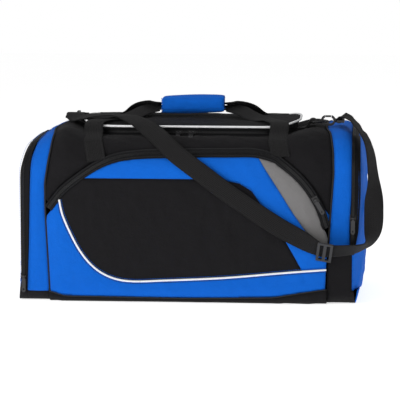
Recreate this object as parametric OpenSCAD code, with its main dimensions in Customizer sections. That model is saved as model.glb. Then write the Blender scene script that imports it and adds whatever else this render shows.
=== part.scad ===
/* [Main compartment] */
// Length of the main compartment between its end seams
body_len = 478; // [470:1:486]
// Depth of the bag, front to back
body_depth = 290; // [286:1:294]
// Height of the body beside the lid
body_h = 275; // [272:1:276]
// Height of the stuffed left end
left_end_h = 280; // [276:1:282]
// Height of the stuffed right end
right_end_h = 288; // [284:1:290]
// Radius of the soft shoulders along the top edges
shoulder_r = 50; // [46:1:54]
// Radius of the bottom edges
base_r = 22; // [18:1:26]
// Thickness of the padded fabric walls
wall_t = 2.4; // [2:0.1:3]
// Height of the wipe-clean strip round the base
base_strip_h = 18; // [12:1:24]

/* [End pockets] */
// Length of each end pocket's gusset
gusset_len = 30; // [26:1:34]
// Thickness of a zipped end flap
flap_t = 2; // [1.6:0.1:2.4]
// Height of the dark lower part of the right gusset
right_lower_h = 88; // [70:1:100]

/* [Lid] */
// Length of the lid over the mouth
lid_len = 370; // [360:1:376]
// Depth of the lid
lid_depth = 172; // [166:1:176]
// Corner radius of the lid
lid_r = 68; // [60:1:76]
// Height of the lid's piped edge above the ground
lid_edge_z = 291; // [290:1:293]
// Rise of the lid's crown above its edge
lid_crown = 7; // [4:1:9]

/* [Hardware] */
// Width of the webbing of the handles and the strap
web_w = 32; // [25:1:34]
// Thickness of the webbing
web_t = 2.2; // [1.6:0.1:2.6]
// Length of the padded wrap round the handles
grip_len = 116; // [100:1:130]
// Length of a zip puller
puller_len = 27; // [22:1:30]

/* [Hidden] */

blue = [0.04, 0.38, 0.82];
black = [0.13, 0.13, 0.14];
charcoal = [0.2, 0.2, 0.21];
grey = [0.5, 0.5, 0.5];
white = [0.94, 0.94, 0.96];
steel = [0.6, 0.6, 0.62];

half_len = body_len / 2;
half_depth = body_depth / 2;
seam = 2;                        // room between the main wall and an end pocket
pocket_in = 2.9;                 // the front pocket's panels lie this far outside the wall
pocket_out = pocket_in + 2.5;
zip_gap = 3;                     // room between the two tapes of a zip, for the slider's neck
tape_w = 5;                      // width of one tape of the pocket's zip
big = 400;

// Gussets are a little smaller than the main compartment.
gusset_in = -7;
gusset_x0 = half_len + seam;
gusset_x1 = gusset_x0 + gusset_len;
tape_x1 = gusset_x1 + 4;
flap_x0 = tape_x1 + zip_gap;
flap_tape_x1 = flap_x0 + 4;
flap_x1 = 299;                   // outer face of an end flap, half the bag's length

// ---------- shared outlines ----------

// The bag's cross-section, as Y to the right and Z up, grown outwards by g.
// Its underside is at the given bottom, and its top at top + g.
module bag_section(g, bottom, top) {
  hw = half_depth + g;
  crest = top + g;
  rs = shoulder_r + g;
  rb = max(base_r + min(g, 0), 2);
  translate([-hw, bottom + rb]) square([2 * hw, crest - rs - bottom - rb]);
  translate([-hw + rs, bottom + rb]) square([2 * (hw - rs), crest - bottom - rb]);
  translate([-hw + rb, bottom]) square([2 * (hw - rb), rb + 1]);
  for (s = [-1, 1]) {
    translate([s * (hw - rs), crest - rs]) circle(r = rs, $fn = 96);
    translate([s * (hw - rb), bottom + rb]) circle(r = rb, $fn = 64);
  }
}

// A skin of the section from offset g_in to g_out, run along X from x0 to x1.
module skin(g_in, g_out, x0, x1, top = body_h)
  translate([x0, 0, 0]) rotate([90, 0, 90]) linear_extrude(x1 - x0)
    difference() {
      bag_section(g_out, 0, top);
      bag_section(g_in, wall_t, top);
    }

// Everything in front of the middle that lies inside a front-view outline (X and Z).
module front_cut() translate([0, -60, 0]) rotate([90, 0, 0]) linear_extrude(130) children();

// Keeps what lies between two heights.
module between_z(z0, z1) intersection() {
  children();
  translate([-big, -big, z0]) cube([2 * big, 2 * big, z1 - z0]);
}

function arc(cx, cz, r, a0, a1, n) =
  [for (i = [0:n]) [cx + r * cos(a0 + (a1 - a0) * i / n), cz + r * sin(a0 + (a1 - a0) * i / n)]];

// The arched zip of the front pocket: a left side in two slopes, a flat top and a round right side.
arch_left = [-118, 176, 72];     // centre X, centre Z and radius of the left bend
arch_right = [64, 92.5, 172.6];  // the same for the round right side

function arch(d) = concat(
  [[-half_len, 152 + 1.6 * d], [-209 - 0.7 * d, 189 + 0.8 * d]],
  arc(arch_left[0], arch_left[1], arch_left[2] + d, 129, 90, 8),
  [[60, 252 + d], [118, 252 + d]],
  arc(arch_right[0], arch_right[1], arch_right[2] + d, 63, 14, 16),
  [[half_len, 126 + 1.4 * d]]
);

// The area under the arch, grown by d, down to height z.
module under_arch(d, z) difference() {
  polygon(concat(arch(d), [[half_len, z], [-half_len, z]]));
  translate([half_len, 0]) square([80, 300]);
}

// Everything above the arch, grown by d.
module over_arch(d) difference() {
  translate([-half_len, 60]) square([body_len, 300]);
  under_arch(d, 0);
}

// ---------- main compartment ----------

module base_panel() color(black)
  between_z(-1, base_strip_h) skin(-wall_t, 0, -half_len, half_len);

module base_board() color(charcoal)
  translate([-half_len + 8, -half_depth + 26, wall_t + 0.2])
    cube([body_len - 16, body_depth - 52, 2.6]);

module front_wall() color(black)
  intersection() {
    skin(-wall_t, 0, -half_len, half_len);
    front_cut() difference() {
      under_arch(0, base_strip_h);
      translate([-big, 0]) square([2 * big, base_strip_h]);
    }
  }

back_seam_z = 215;

module back_wall() color(black)
  between_z(base_strip_h, back_seam_z)
    intersection() {
      skin(-wall_t, 0, -half_len, half_len);
      translate([-big, 60, 0]) cube([2 * big, big, big]);
    }

mouth_clear = 6;                 // the mouth is this much smaller than the lid
module lid_outline(g) {
  r = lid_r + g;
  translate([-lid_len / 2 - g, -lid_depth / 2 + lid_r]) square([lid_len + 2 * g, lid_depth - 2 * lid_r]);
  translate([-lid_len / 2 + lid_r, -lid_depth / 2 - g]) square([lid_len - 2 * lid_r, lid_depth + 2 * g]);
  for (sx = [-1, 1], sy = [-1, 1])
    translate([sx * (lid_len / 2 - lid_r), sy * (lid_depth / 2 - lid_r)]) circle(r = r, $fn = 96);
}

module mouth_hole() translate([0, 0, body_h - 60]) linear_extrude(90) lid_outline(-mouth_clear);

end_x = lid_len / 2 - mouth_clear;   // where the mouth ends and the end yokes begin
function end_top(s) = s > 0 ? right_end_h : left_end_h;

module front_yoke() color(black)
  difference() {
    intersection() {
      skin(-wall_t, 0, -end_x, end_x);
      front_cut() over_arch(0);
    }
    mouth_hole();
  }

module back_yoke() color(black)
  difference() {
    between_z(back_seam_z, big) intersection() {
      skin(-wall_t, 0, -end_x, end_x);
      translate([-big, 60, 0]) cube([2 * big, big, big]);
    }
    mouth_hole();
  }

// A saddle over each end, from the arch's seam in front to the seam across the back.
module end_yoke(s) color(black)
  intersection() {
    skin(-wall_t, 0, s > 0 ? end_x : -half_len, s > 0 ? half_len : -end_x, end_top(s));
    union() {
      front_cut() over_arch(0);
      translate([-big, 60, back_seam_z]) cube([2 * big, big, big]);
      translate([-big, -61, back_seam_z]) cube([2 * big, 122, big]);
    }
  }
module left_end_yoke() end_yoke(-1);
module right_end_yoke() end_yoke(1);

module divider(s) color(charcoal)
  translate([s > 0 ? half_len + 0.2 : -half_len - 1.8, 0, 0]) rotate([90, 0, 90]) linear_extrude(1.6)
    intersection() {
      bag_section(gusset_in - 1, 0, end_top(s));
      translate([-big, base_strip_h]) square([2 * big, big]);
    }
module left_divider() divider(-1);
module right_divider() divider(1);

// ---------- lid and its zip ----------

lid_tape_z0 = lid_edge_z - 8;            // lower edge of the lid's own tape
mouth_tape_z1 = lid_tape_z0 - zip_gap;   // upper edge of the tape sewn round the mouth
lid_skin = 1.8;

module mouth_zip_tape() color(charcoal)
  translate([0, 0, mouth_tape_z1 - 4]) linear_extrude(4) difference() {
    lid_outline(-mouth_clear - 0.3);
    lid_outline(-mouth_clear - 2.3);
  }

module lid_zip_tape() color(charcoal)
  translate([0, 0, lid_tape_z0]) linear_extrude(lid_edge_z - lid_tape_z0) difference() {
    lid_outline(-mouth_clear - 0.3);
    lid_outline(-mouth_clear - 2.3);
  }

crown_r = (pow(lid_depth / 2, 2) + lid_crown * lid_crown) / (2 * lid_crown);
module lid_panel() color(black)
  intersection() {
    translate([0, 0, lid_edge_z + 0.1]) linear_extrude(40) lid_outline(-2);
    difference() {
      translate([-big / 2, 0, lid_edge_z + lid_crown - crown_r + 0.6])
        rotate([0, 90, 0]) cylinder(r = crown_r, h = big, $fn = 360);
      translate([-big / 2 - 1, 0, lid_edge_z + lid_crown - crown_r - 1.4])
        rotate([0, 90, 0]) cylinder(r = crown_r, h = big + 2, $fn = 360);
    }
  }

// The piping is a cord run round the lid's edge.
piping_r = 1.8;
module lid_piping() color(white)
  translate([0, 0, lid_edge_z + 0.4]) {
    for (sx = [-1, 1], sy = [-1, 1])
      translate([sx * (lid_len / 2 - lid_r), sy * (lid_depth / 2 - lid_r), 0])
        rotate([0, 0, sx > 0 ? (sy > 0 ? 0 : 270) : (sy > 0 ? 90 : 180)])
          rotate_extrude(angle = 90, $fn = 96) translate([lid_r, 0]) circle(r = piping_r, $fn = 24);
    for (sy = [-1, 1])
      translate([-lid_len / 2 + lid_r, sy * lid_depth / 2, 0])
        rotate([0, 90, 0]) cylinder(r = piping_r, h = lid_len - 2 * lid_r, $fn = 24);
    for (sx = [-1, 1])
      translate([sx * lid_len / 2, -lid_depth / 2 + lid_r, 0])
        rotate([-90, 0, 0]) cylinder(r = piping_r, h = lid_depth - 2 * lid_r, $fn = 24);
  }

// ---------- front pocket ----------

pocket_x = half_len - 1;
pocket_z0 = base_strip_h - 5;
tape_half = zip_gap / 2;
pocket_edge = -tape_half - tape_w;       // the panels end where the arch's lower tape begins

module pocket_layer(g0, g1) intersection() {
  skin(g0, g1, -pocket_x, pocket_x);
  front_cut() children();
}

// The sweep of the piping: down the left side, round the lower left corner, then along the base.
sweep_c = [-110, 139, 101];              // centre X, centre Z and radius of its round corner
function sweep(d) = concat(
  [[-214 - d, 190], [-212.5 - d, 165]],
  arc(sweep_c[0], sweep_c[1], sweep_c[2] + d, 184, 272, 16),
  [[70, 45.5 - d], [190, 57 - d], [pocket_x + 1, 60 - d]]
);
module inside_sweep(d) polygon(concat(sweep(d), [[pocket_x + 1, 300], [-214 - d, 300]]));

band_z = 210;                            // lower edge of the blue band along the pocket's top
black_corner = [88, 203];                // where the black panel turns down to the right
diagonal = [[108, 191], [162, 112], [193, 57]];

// The black centre panel, up to the blue band and the diagonal.
module black_area() polygon(concat(
  [[-260, 20], [-260, band_z], [20, band_z], [60, 208.5], black_corner], diagonal, [[193, 20]]));

// The grey blade between the arch and the right-hand diagonal.
module grey_area() polygon([[118, 300], [120, 244], [149, 199], [174, 159], [198, 124], [215, 108], [262, 96], [262, 300]]);

module pocket_panel_area() intersection() {
  under_arch(pocket_edge, pocket_z0);
  translate([-pocket_x, pocket_z0]) square([2 * pocket_x, 300]);
}

pipe_half = 1.7;
module pocket_black_panel() color(black)
  pocket_layer(pocket_in, pocket_out) intersection() {
    pocket_panel_area();
    inside_sweep(-pipe_half);
    black_area();
  }

module pocket_blue_base() color(blue)
  pocket_layer(pocket_in, pocket_out) difference() {
    pocket_panel_area();
    inside_sweep(pipe_half);
  }

module pocket_blue_band() color(blue)
  pocket_layer(pocket_in, pocket_out) intersection() {
    pocket_panel_area();
    inside_sweep(-pipe_half);
    difference() {
      translate([-260, 20]) square([520, 300]);
      black_area();
      grey_area();
    }
  }

module pocket_grey_panel() color(grey)
  pocket_layer(pocket_in, pocket_out) intersection() {
    pocket_panel_area();
    inside_sweep(-pipe_half);
    grey_area();
  }

module pocket_piping() color(white)
  pocket_layer(pocket_in, pocket_out + 1.2) intersection() {
    pocket_panel_area();
    difference() {
      inside_sweep(pipe_half);
      inside_sweep(-pipe_half);
    }
  }

module pocket_zip_tape() color(charcoal)
  pocket_layer(pocket_in, pocket_out) difference() {
    under_arch(-tape_half, pocket_z0);
    under_arch(pocket_edge, pocket_z0 - 20);
  }

// A strip along the arch, between two distances from the zip's middle line.
module arch_strip(d0, d1) difference() {
  under_arch(d1, 60);
  under_arch(d0, 40);
  translate([-half_len, 0]) square([body_len, 112]);
}

// The upper tape stands on the wall along its outer edge.
upper_foot = 1.3;
module pocket_zip_upper() color(charcoal) {
  pocket_layer(pocket_in, pocket_out) arch_strip(tape_half, tape_half + tape_w);
  pocket_layer(0.2, pocket_in) arch_strip(tape_half + tape_w - upper_foot, tape_half + tape_w);
}

// ---------- end pockets ----------

module on_end(s) mirror([s < 0 ? 1 : 0, 0, 0]) children();

module end_skin(s, g_out, x0, x1) skin(gusset_in - wall_t, g_out, x0, x1, end_top(s));

module gusset(s, z0) color(blue)
  on_end(s) between_z(z0, big) end_skin(s, gusset_in, gusset_x0, gusset_x1);
module left_gusset() gusset(-1, base_strip_h);
module right_gusset() gusset(1, right_lower_h);

flap_z0 = base_strip_h + 6;
base_rim_z = flap_z0 - 2;        // the pocket's base stands up to here under the flap

// The dark base: a trough under the gusset, and a shallow tray under the flap.
module gusset_base(s, z1) color(black)
  on_end(s) {
    between_z(-1, z1) end_skin(s, gusset_in, gusset_x0, gusset_x1);
    between_z(-1, base_rim_z) {
      end_skin(s, gusset_in, gusset_x1, flap_x1);
      translate([flap_x1 - flap_t, 0, 0]) rotate([90, 0, 90]) linear_extrude(flap_t)
        bag_section(gusset_in - 1, 0, end_top(s));
    }
  }
module left_gusset_base() gusset_base(-1, base_strip_h);
module right_gusset_base() gusset_base(1, right_lower_h);

module gusset_zip_tape(s) color(charcoal)
  on_end(s) between_z(flap_z0, big) end_skin(s, gusset_in - 0.2, gusset_x1 + 0.1, tape_x1);
module left_gusset_zip_tape() gusset_zip_tape(-1);
module right_gusset_zip_tape() gusset_zip_tape(1);

module flap_zip_tape(s) color(charcoal)
  on_end(s) between_z(flap_z0, big) end_skin(s, gusset_in - 0.2, flap_x0, flap_tape_x1);
module left_flap_zip_tape() flap_zip_tape(-1);
module right_flap_zip_tape() flap_zip_tape(1);

// A shallow tray: a rim that meets the tape and the flat end of the bag.
module flap_panel(s) color(blue)
  on_end(s) between_z(flap_z0, big) {
    end_skin(s, gusset_in, flap_tape_x1 + 0.1, flap_x1);
    translate([flap_x1 - flap_t, 0, 0]) rotate([90, 0, 90]) linear_extrude(flap_t)
      bag_section(gusset_in - 1, wall_t, end_top(s));
  }
module left_flap_panel() flap_panel(-1);
module right_flap_panel() flap_panel(1);

// ---------- webbing ----------

function unit(v) = v / norm(v);
function next(p, i) = p[min(i + 1, len(p) - 1)];
function prev(p, i) = p[max(i - 1, 0)];
function along(p, i) = unit([for (k = [0:2]) next(p, i)[k] - prev(p, i)[k]]);
function square_to(w, t) = unit(w - (w * t) * t);

// One ring of four corners: p is a point of the route and its width direction.
function band_ring(p, t) =
  let (c = [p[0], p[1], p[2]], w = square_to([p[3], p[4], p[5]], t) * web_w / 2, n = cross(t, unit(w)) * web_t / 2)
  [c - w - n, c + w - n, c + w + n, c - w + n];

// A flat band swept along a route whose entries are [x, y, z, width direction].
module band(route) {
  n = len(route);
  points = [for (i = [0:n - 1]) each band_ring(route[i], along(route, i))];
  corner = function(i, k) 4 * i + k % 4;
  sides = [for (i = [0:n - 2], k = [0:3]) each [
    [corner(i, k), corner(i, k + 1), corner(i + 1, k + 1)],
    [corner(i, k), corner(i + 1, k + 1), corner(i + 1, k)]
  ]];
  last = 4 * n - 4;
  ends = [[2, 1, 0], [3, 2, 0], [last, last + 1, last + 2], [last, last + 2, last + 3]];
  polyhedron(points = points, faces = concat(ends, sides), convexity = 8);
}

// Half of a handle, from its root on the shoulder to the middle of the grip at height z.
function leg_x(s) = s < 0 ? 160 : 150;
function handle_half(s, z) = [
  [s * leg_x(s), -112, 275, s, 0, 0],
  [s * (leg_x(s) + 1), -101, 282, s, 0, 0],
  [s * (leg_x(s) + 2), -90, 292.5, s, 0, 0],
  [s * leg_x(s), -78, 298.5, s, 0.15, 0],
  [s * (leg_x(s) - 9), -63, 300, s * 0.9, 0.4, 0],
  [s * 133, -50, 300.5, s * 0.75, 0.65, 0],
  [s * 116, -38, 301.5, s * 0.6, 0.78, 0.05],
  [s * 100, -27, z - 10.5, s * 0.45, 0.88, 0.1],
  [s * 85, -15, z - 4, s * 0.25, 0.96, 0.1],
  [s * 70, -5.5, z - 0.6, s * 0.1, 1, 0.05],
  [s * 61, 0, z, 0, 1, 0],
  [s * 48, 0, z, 0, 1, 0]
];
function reversed(p) = [for (i = [len(p) - 1:-1:0]) p[i]];
function handle_route(z) = concat(handle_half(-1, z), reversed(handle_half(1, z)));

grip_z = 323;                            // middle height of the wrapped grip
module front_handle_webbing() color(black) band(handle_route(grip_z - 7));
module back_handle_webbing() color(black) mirror([0, 1, 0]) band(handle_route(grip_z + 0.5));

grip_h = 30;
grip_w = web_w + 8;
grip_wall = 3;
module grip_section(g) {
  r = 7 + g;
  for (sy = [-1, 1], sz = [-1, 1])
    translate([sy * (grip_w / 2 - 7), sz * (grip_h / 2 - 7)]) circle(r = r, $fn = 48);
  translate([-grip_w / 2 - g, -grip_h / 2 + 7]) square([grip_w + 2 * g, grip_h - 14]);
  translate([-grip_w / 2 + 7, -grip_h / 2 - g]) square([grip_w - 14, grip_h + 2 * g]);
}
module grip_wrap() color(blue)
  translate([-grip_len / 2, 0, grip_z]) rotate([90, 0, 90]) linear_extrude(grip_len) difference() {
    grip_section(0);
    grip_section(-grip_wall);
  }

leg_top_z = 271.5;
leg_back_z = 222;
// The sewn-down ends of the four webbing legs.
module handle_legs() color(black)
  intersection() {
    skin(0.2, 0.2 + web_t, -end_x, end_x);
    for (s = [-1, 1]) translate([s * leg_x(s) - web_w / 2, -big, leg_back_z])
      cube([web_w, 2 * big, leg_top_z - leg_back_z]);
    union() {
      front_cut() over_arch(tape_half + tape_w + 0.3);
      translate([-big, 60, 0]) cube([2 * big, big, big]);
    }
  }

// ---------- strap, rings and hooks ----------

// The shoulder strap, from the left hook over the lid and down the front to the right hook.
strap_route = [
  [-204, 20.2, 294, 1, 0, 0],
  [-204, 20, 299, 1, 0, 0],
  [-204, 16, 303.5, 1, 0, 0],
  [-204, 6, 305.5, 1, 0, 0],
  [-204, -5, 303.5, 1, 0.05, 0.05],
  [-201.5, -14, 300.5, 0.95, 0.2, 0.2],
  [-195, -22, 299.5, 0.8, 0.5, 0.3],
  [-183, -29, 302, 0.5, 0.8, 0.25],
  [-165, -36, 305, 0.25, 0.95, 0.1],
  [-142, -43, 306.5, 0.2, 1, 0],
  [-121, -52, 306.5, 0.4, 0.9, 0],
  [-103, -65, 303.5, 0.6, 0.75, 0.2],
  [-86, -81, 298.5, 0.7, 0.6, 0.3],
  [-70, -98, 290.5, 0.7, 0.4, 0.5],
  [-55, -116, 281.5, 0.7, 0.3, 0.6],
  [-40, -135.5, 271, 0.6, 0.2, 0.7],
  [-22, -152.5, 256.5, 0.6, 0.1, 0.8],
  [-2, -159, 241.5, 0.6, 0, 0.8],
  [16, -159.5, 228, 0.6, 0, 0.8],
  [36, -159.5, 213, 0.6, 0, 0.8],
  [60, -159.5, 195, 0.6, 0, 0.8],
  [86, -159.5, 177, 0.6, 0, 0.8],
  [126, -159.5, 150, 0.55, 0, 0.83],
  [160, -160, 129, 0.5, 0, 0.86],
  [192, -160.5, 112, 0.45, -0.2, 0.86],
  [206, -161, 104, 0.4, -0.4, 0.8],
  [217.5, -161.5, 98.3, 0.38, -0.55, 0.72],
  [230.5, -162, 94.3, 0.36, -0.6, 0.7],
  [243.5, -162.5, 93.8, 0.34, -0.62, 0.7],
  [257, -162.5, 94.5, 0.12, -0.7, 0.7],
  [272, -161.5, 95.8, 0, -0.76, 0.64],
  [286, -159.5, 98.3, -0.08, -0.85, 0.5],
  [298, -156.5, 103, -0.18, -0.93, 0.33],
  [305, -153.5, 112.5, -0.6, -0.75, 0.25],
  [309.5, -151.5, 127, -0.88, -0.4, 0.2],
  [311, -150, 144, -1, -0.1, 0.05],
  [311, -149.5, 160, -1, 0, 0],
  [311, -149.5, 177, -0.97, -0.25, 0],
  [311, -149.5, 194, -0.8, -0.6, 0],
  [310, -149, 212, -0.6, -0.8, 0],
  [308, -147, 230, -0.5, -0.86, 0],
  [306, -145, 247, -0.45, -0.88, 0],
  [303, -141.5, 262.5, -0.4, -0.9, 0.1],
  [298, -134.5, 276, -0.33, -0.94, 0.1],
  [290.5, -119.5, 287.5, -0.25, -0.96, 0.1],
  [283, -101, 294.5, -0.15, -0.98, 0.1],
  [276, -83, 300.5, -0.05, -1, 0],
  [268, -67, 304.5, 0, -1, 0],
  [261, -55, 306, 0, -1, 0],
  [255.8, -47.5, 304.5, 0, -1, 0],
  [253.9, -45, 301.5, 0, -1, 0],
  [253.9, -45, 297, 0, -1, 0]
];
module shoulder_strap() color(black) band(strap_route);

// A three-bar slide lies on the strap where it turns round the right end.
adjuster_at = 27;
module strap_adjuster() color(black) {
  p = strap_route[adjuster_at];
  t = along(strap_route, adjuster_at);
  w = square_to([p[3], p[4], p[5]], t);
  n = cross(w, t);
  multmatrix([[t[0], w[0], n[0], p[0]], [t[1], w[1], n[1], p[1]], [t[2], w[2], n[2], p[2]]])
    translate([0, 0, -web_t / 2 - 1.5 - 3]) linear_extrude(3) difference() {
      square([26, 42], center = true);
      for (k = [-1, 1]) translate([k * 5.6, 0]) square([6, 34], center = true);
    }
}

ring_r = 19;
wire_r = 2;
hook_reach = 29.2;                       // from the hook's eye to the ring's wire inside its bow
// A D-shaped ring, its bar on the Y axis and its bow towards +X.
module d_ring() {
  rotate([0, 0, -90]) rotate_extrude(angle = 180, $fn = 96) translate([ring_r, 0]) circle(r = wire_r, $fn = 32);
  translate([0, -ring_r, 0]) rotate([-90, 0, 0]) cylinder(r = wire_r, h = 2 * ring_r, $fn = 32);
  for (s = [-1, 1]) translate([0, s * ring_r, 0]) sphere(r = wire_r, $fn = 32);
}

// A swivel hook: eye bar on the Y axis, bow towards +X, its opening in the X-Z plane.
eye_w = web_w + 8;
module swivel_hook() {
  translate([2.5, 0, 0]) linear_extrude(4, center = true) difference() {
    square([13, eye_w], center = true);
    translate([-0.4, 0]) square([5.4, web_w + 1.6], center = true);
  }
  translate([8, 0, 0]) rotate([0, 90, 0]) cylinder(r = 3.6, h = 4, $fn = 48);
  rotate([90, 0, 0]) linear_extrude(4.6, center = true) difference() {
    union() {
      translate([20, 0]) circle(r = 9, $fn = 64);
      translate([27, 0]) circle(r = 9, $fn = 64);
      translate([20, -9]) square([7, 18]);
    }
    translate([20, 0]) circle(r = 5, $fn = 64);
    translate([27, 0]) circle(r = 5, $fn = 64);
    translate([20, -5]) square([7, 10]);
    translate([gate_x0, 0]) square([gate_len, 12]);
  }
}
gate_x0 = 18;
gate_len = 11;
module hook_gate() translate([gate_x0 + 0.8, -2, 5.6]) cube([gate_len - 1.2, 4, 3]);

left_eye = [-204, 18, 297];
right_eye = [256, -45, 300];
module at_left() translate(left_eye) rotate([0, 0, 90]) children();
module at_right() translate(right_eye) rotate([0, 0, 180]) children();
module left_hook() color(charcoal) at_left() swivel_hook();
module right_hook() color(charcoal) at_right() swivel_hook();
module left_hook_gate() color(steel) at_left() hook_gate();
module right_hook_gate() color(steel) at_right() hook_gate();

ring_gap = hook_reach + ring_r;    // from the eye to the ring's bar
ring_drop = 1;
module left_ring() color(steel) at_left() translate([ring_gap, 0, -ring_drop]) rotate([0, 0, 180]) d_ring();
module right_ring() color(steel) at_right() translate([ring_gap, 0, -ring_drop]) rotate([0, 0, 180]) d_ring();

// A fold of webbing sewn to the top at each end, round the ring's bar.
module ring_tab(drop) translate([ring_gap, 0, -ring_drop]) difference() {
  translate([-3.6, -web_w / 2, -drop]) cube([13, web_w, drop + 3.6]);
  translate([0, -web_w, 0]) rotate([-90, 0, 0]) cylinder(r = wire_r + 0.05, h = 2 * web_w, $fn = 32);
}
module ring_tabs() color(black) {
  at_left() ring_tab(left_eye[2] - ring_drop - left_end_h - 0.2);
  at_right() ring_tab(right_eye[2] - ring_drop - right_end_h - 0.2);
}

// ---------- zip sliders and pullers ----------

// A slider on tapes 2 mm thick whose outer face is z = 0; it travels along X.
// Its pin lies along X or, when across is true, along Y.
plate = [12, 10, 1.3];
pin_z = 4.9;
pin_r = 0.9;
module slider(across) {
  translate([-plate[0] / 2, -plate[1] / 2, 0.5]) cube(plate);
  translate([-plate[0] / 2, -plate[1] / 2, -wall_t - 0.4 - plate[2]]) cube(plate);
  translate([0.5, -0.9, -wall_t - 0.5]) cube([4.5, 1.8, wall_t + 1.2]);
  rotate([0, 0, across ? 90 : 0]) {
    for (s = [-1, 1]) translate([s * 3.2 - 0.7, -1.6, 1.7]) cube([1.4, 3.2, pin_z - 0.3]);
    translate([-3, 0, pin_z]) rotate([0, 90, 0]) cylinder(r = pin_r, h = 6, $fn = 32);
  }
}

// A puller: its eye runs on a pin along X, and it hangs towards -Y.
eye_out = 2.6;
module puller(across) rotate([0, 0, across ? -90 : 0]) {
  difference() {
    union() {
      translate([-2, 0, pin_z]) rotate([0, 90, 0]) cylinder(r = eye_out, h = 4, $fn = 48);
      translate([-2, -5, pin_z - 0.9]) cube([4, 4, 1.8]);
    }
    translate([-3, 0, pin_z]) rotate([0, 90, 0]) cylinder(r = pin_r + 0.25, h = 6, $fn = 32);
  }
  translate([0, 0, pin_z - 0.9]) linear_extrude(1.8) difference() {
    union() {
      translate([-3.5, -puller_len + 3.5]) square([7, puller_len - 7.5]);
      translate([0, -puller_len + 3.5]) circle(r = 3.5, $fn = 48);
    }
    translate([0, -puller_len + 5]) circle(r = 1.4, $fn = 32);
  }
}

lid_face_y = -lid_depth / 2 + mouth_clear + 0.3;
lid_slider_z = lid_tape_z0 - tape_half;
lid_slider_x = 11;
module on_lid_zip(s) translate([-8 + s * lid_slider_x, lid_face_y, lid_slider_z]) rotate([90, 0, 0])
  mirror([s < 0 ? 1 : 0, 0, 0]) children();
module lid_slider_left() color(charcoal) on_lid_zip(-1) slider(false);
module lid_slider_right() color(charcoal) on_lid_zip(1) slider(false);
lid_puller_tilt = 76;                    // the pullers lie over on the top of the bag
module leaning() translate([0, 0, pin_z]) rotate([-lid_puller_tilt, 0, 0]) translate([0, 0, -pin_z]) children();
module lid_puller_left() color(steel) on_lid_zip(-1) leaning() puller(false);
module lid_puller_right() color(steel) on_lid_zip(1) leaning() puller(false);

// The pocket's slider rests low on the round right side of the arch.
pocket_angle = 29.5;
module on_pocket_zip() translate([arch_right[0], -half_depth - pocket_out, arch_right[1]])
  rotate([0, -pocket_angle, 0]) translate([arch_right[2], 0, 0]) rotate([90, 0, 0]) rotate([0, 0, 90]) children();
module pocket_slider() color(charcoal) on_pocket_zip() slider(true);
module pocket_puller() color(steel) on_pocket_zip() puller(true);

end_face_y = -half_depth - gusset_in + 0.2;
end_slider_x = (tape_x1 + flap_x0) / 2;
left_slider_z = 42;
right_slider_z = 146;
module on_end_zip(s, z) translate([s * end_slider_x, end_face_y, z]) rotate([90, 0, 0]) rotate([0, 0, 90]) children();
module left_end_slider() color(charcoal) on_end_zip(-1, left_slider_z) slider(true);
module right_end_slider() color(charcoal) on_end_zip(1, right_slider_z) slider(true);
module left_end_puller() color(steel) on_end_zip(-1, left_slider_z) puller(true);
module right_end_puller() color(steel) on_end_zip(1, right_slider_z) puller(true);

base_panel();
base_board();
front_wall();
back_wall();
front_yoke();
back_yoke();
left_end_yoke();
right_end_yoke();
left_divider();
right_divider();
mouth_zip_tape();
pocket_black_panel();
pocket_blue_base();
pocket_blue_band();
pocket_grey_panel();
pocket_piping();
pocket_zip_tape();
pocket_zip_upper();
left_gusset();
left_gusset_base();
left_gusset_zip_tape();
right_gusset();
right_gusset_base();
right_gusset_zip_tape();
left_flap_panel();
left_flap_zip_tape();
right_flap_panel();
right_flap_zip_tape();
lid_panel();
lid_piping();
lid_zip_tape();
handle_legs();
front_handle_webbing();
grip_wrap();
back_handle_webbing();
ring_tabs();
left_ring();
right_ring();
left_hook();
right_hook();
left_hook_gate();
right_hook_gate();
shoulder_strap();
strap_adjuster();
lid_slider_left();
lid_slider_right();
pocket_slider();
left_end_slider();
right_end_slider();
lid_puller_left();
lid_puller_right();
pocket_puller();
left_end_puller();
right_end_puller();
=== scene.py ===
import bmesh, bpy, math
import numpy as np
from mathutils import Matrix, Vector, noise
from mathutils.geometry import delaunay_2d_cdt


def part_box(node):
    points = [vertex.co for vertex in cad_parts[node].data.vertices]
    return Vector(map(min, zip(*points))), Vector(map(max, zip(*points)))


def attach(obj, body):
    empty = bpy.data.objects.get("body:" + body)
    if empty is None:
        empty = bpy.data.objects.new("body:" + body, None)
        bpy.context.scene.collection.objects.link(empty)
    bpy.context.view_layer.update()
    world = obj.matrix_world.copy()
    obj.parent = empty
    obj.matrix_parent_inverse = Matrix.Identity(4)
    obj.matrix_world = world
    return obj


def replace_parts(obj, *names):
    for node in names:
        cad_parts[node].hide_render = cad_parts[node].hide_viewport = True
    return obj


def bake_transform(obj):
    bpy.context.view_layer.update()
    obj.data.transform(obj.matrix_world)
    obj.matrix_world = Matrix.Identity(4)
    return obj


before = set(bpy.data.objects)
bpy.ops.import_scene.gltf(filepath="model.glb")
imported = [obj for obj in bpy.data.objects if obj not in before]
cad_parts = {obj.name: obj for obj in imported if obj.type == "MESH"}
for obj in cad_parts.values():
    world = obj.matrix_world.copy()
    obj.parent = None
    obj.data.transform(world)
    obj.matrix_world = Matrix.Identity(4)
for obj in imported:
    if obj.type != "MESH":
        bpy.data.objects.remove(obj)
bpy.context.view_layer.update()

MM = 0.001


# ---------- sizes, in millimetres, from the frame ----------

def low(node):
    return [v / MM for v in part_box(node)[0]]


def high(node):
    return [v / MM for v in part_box(node)[1]]


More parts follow.
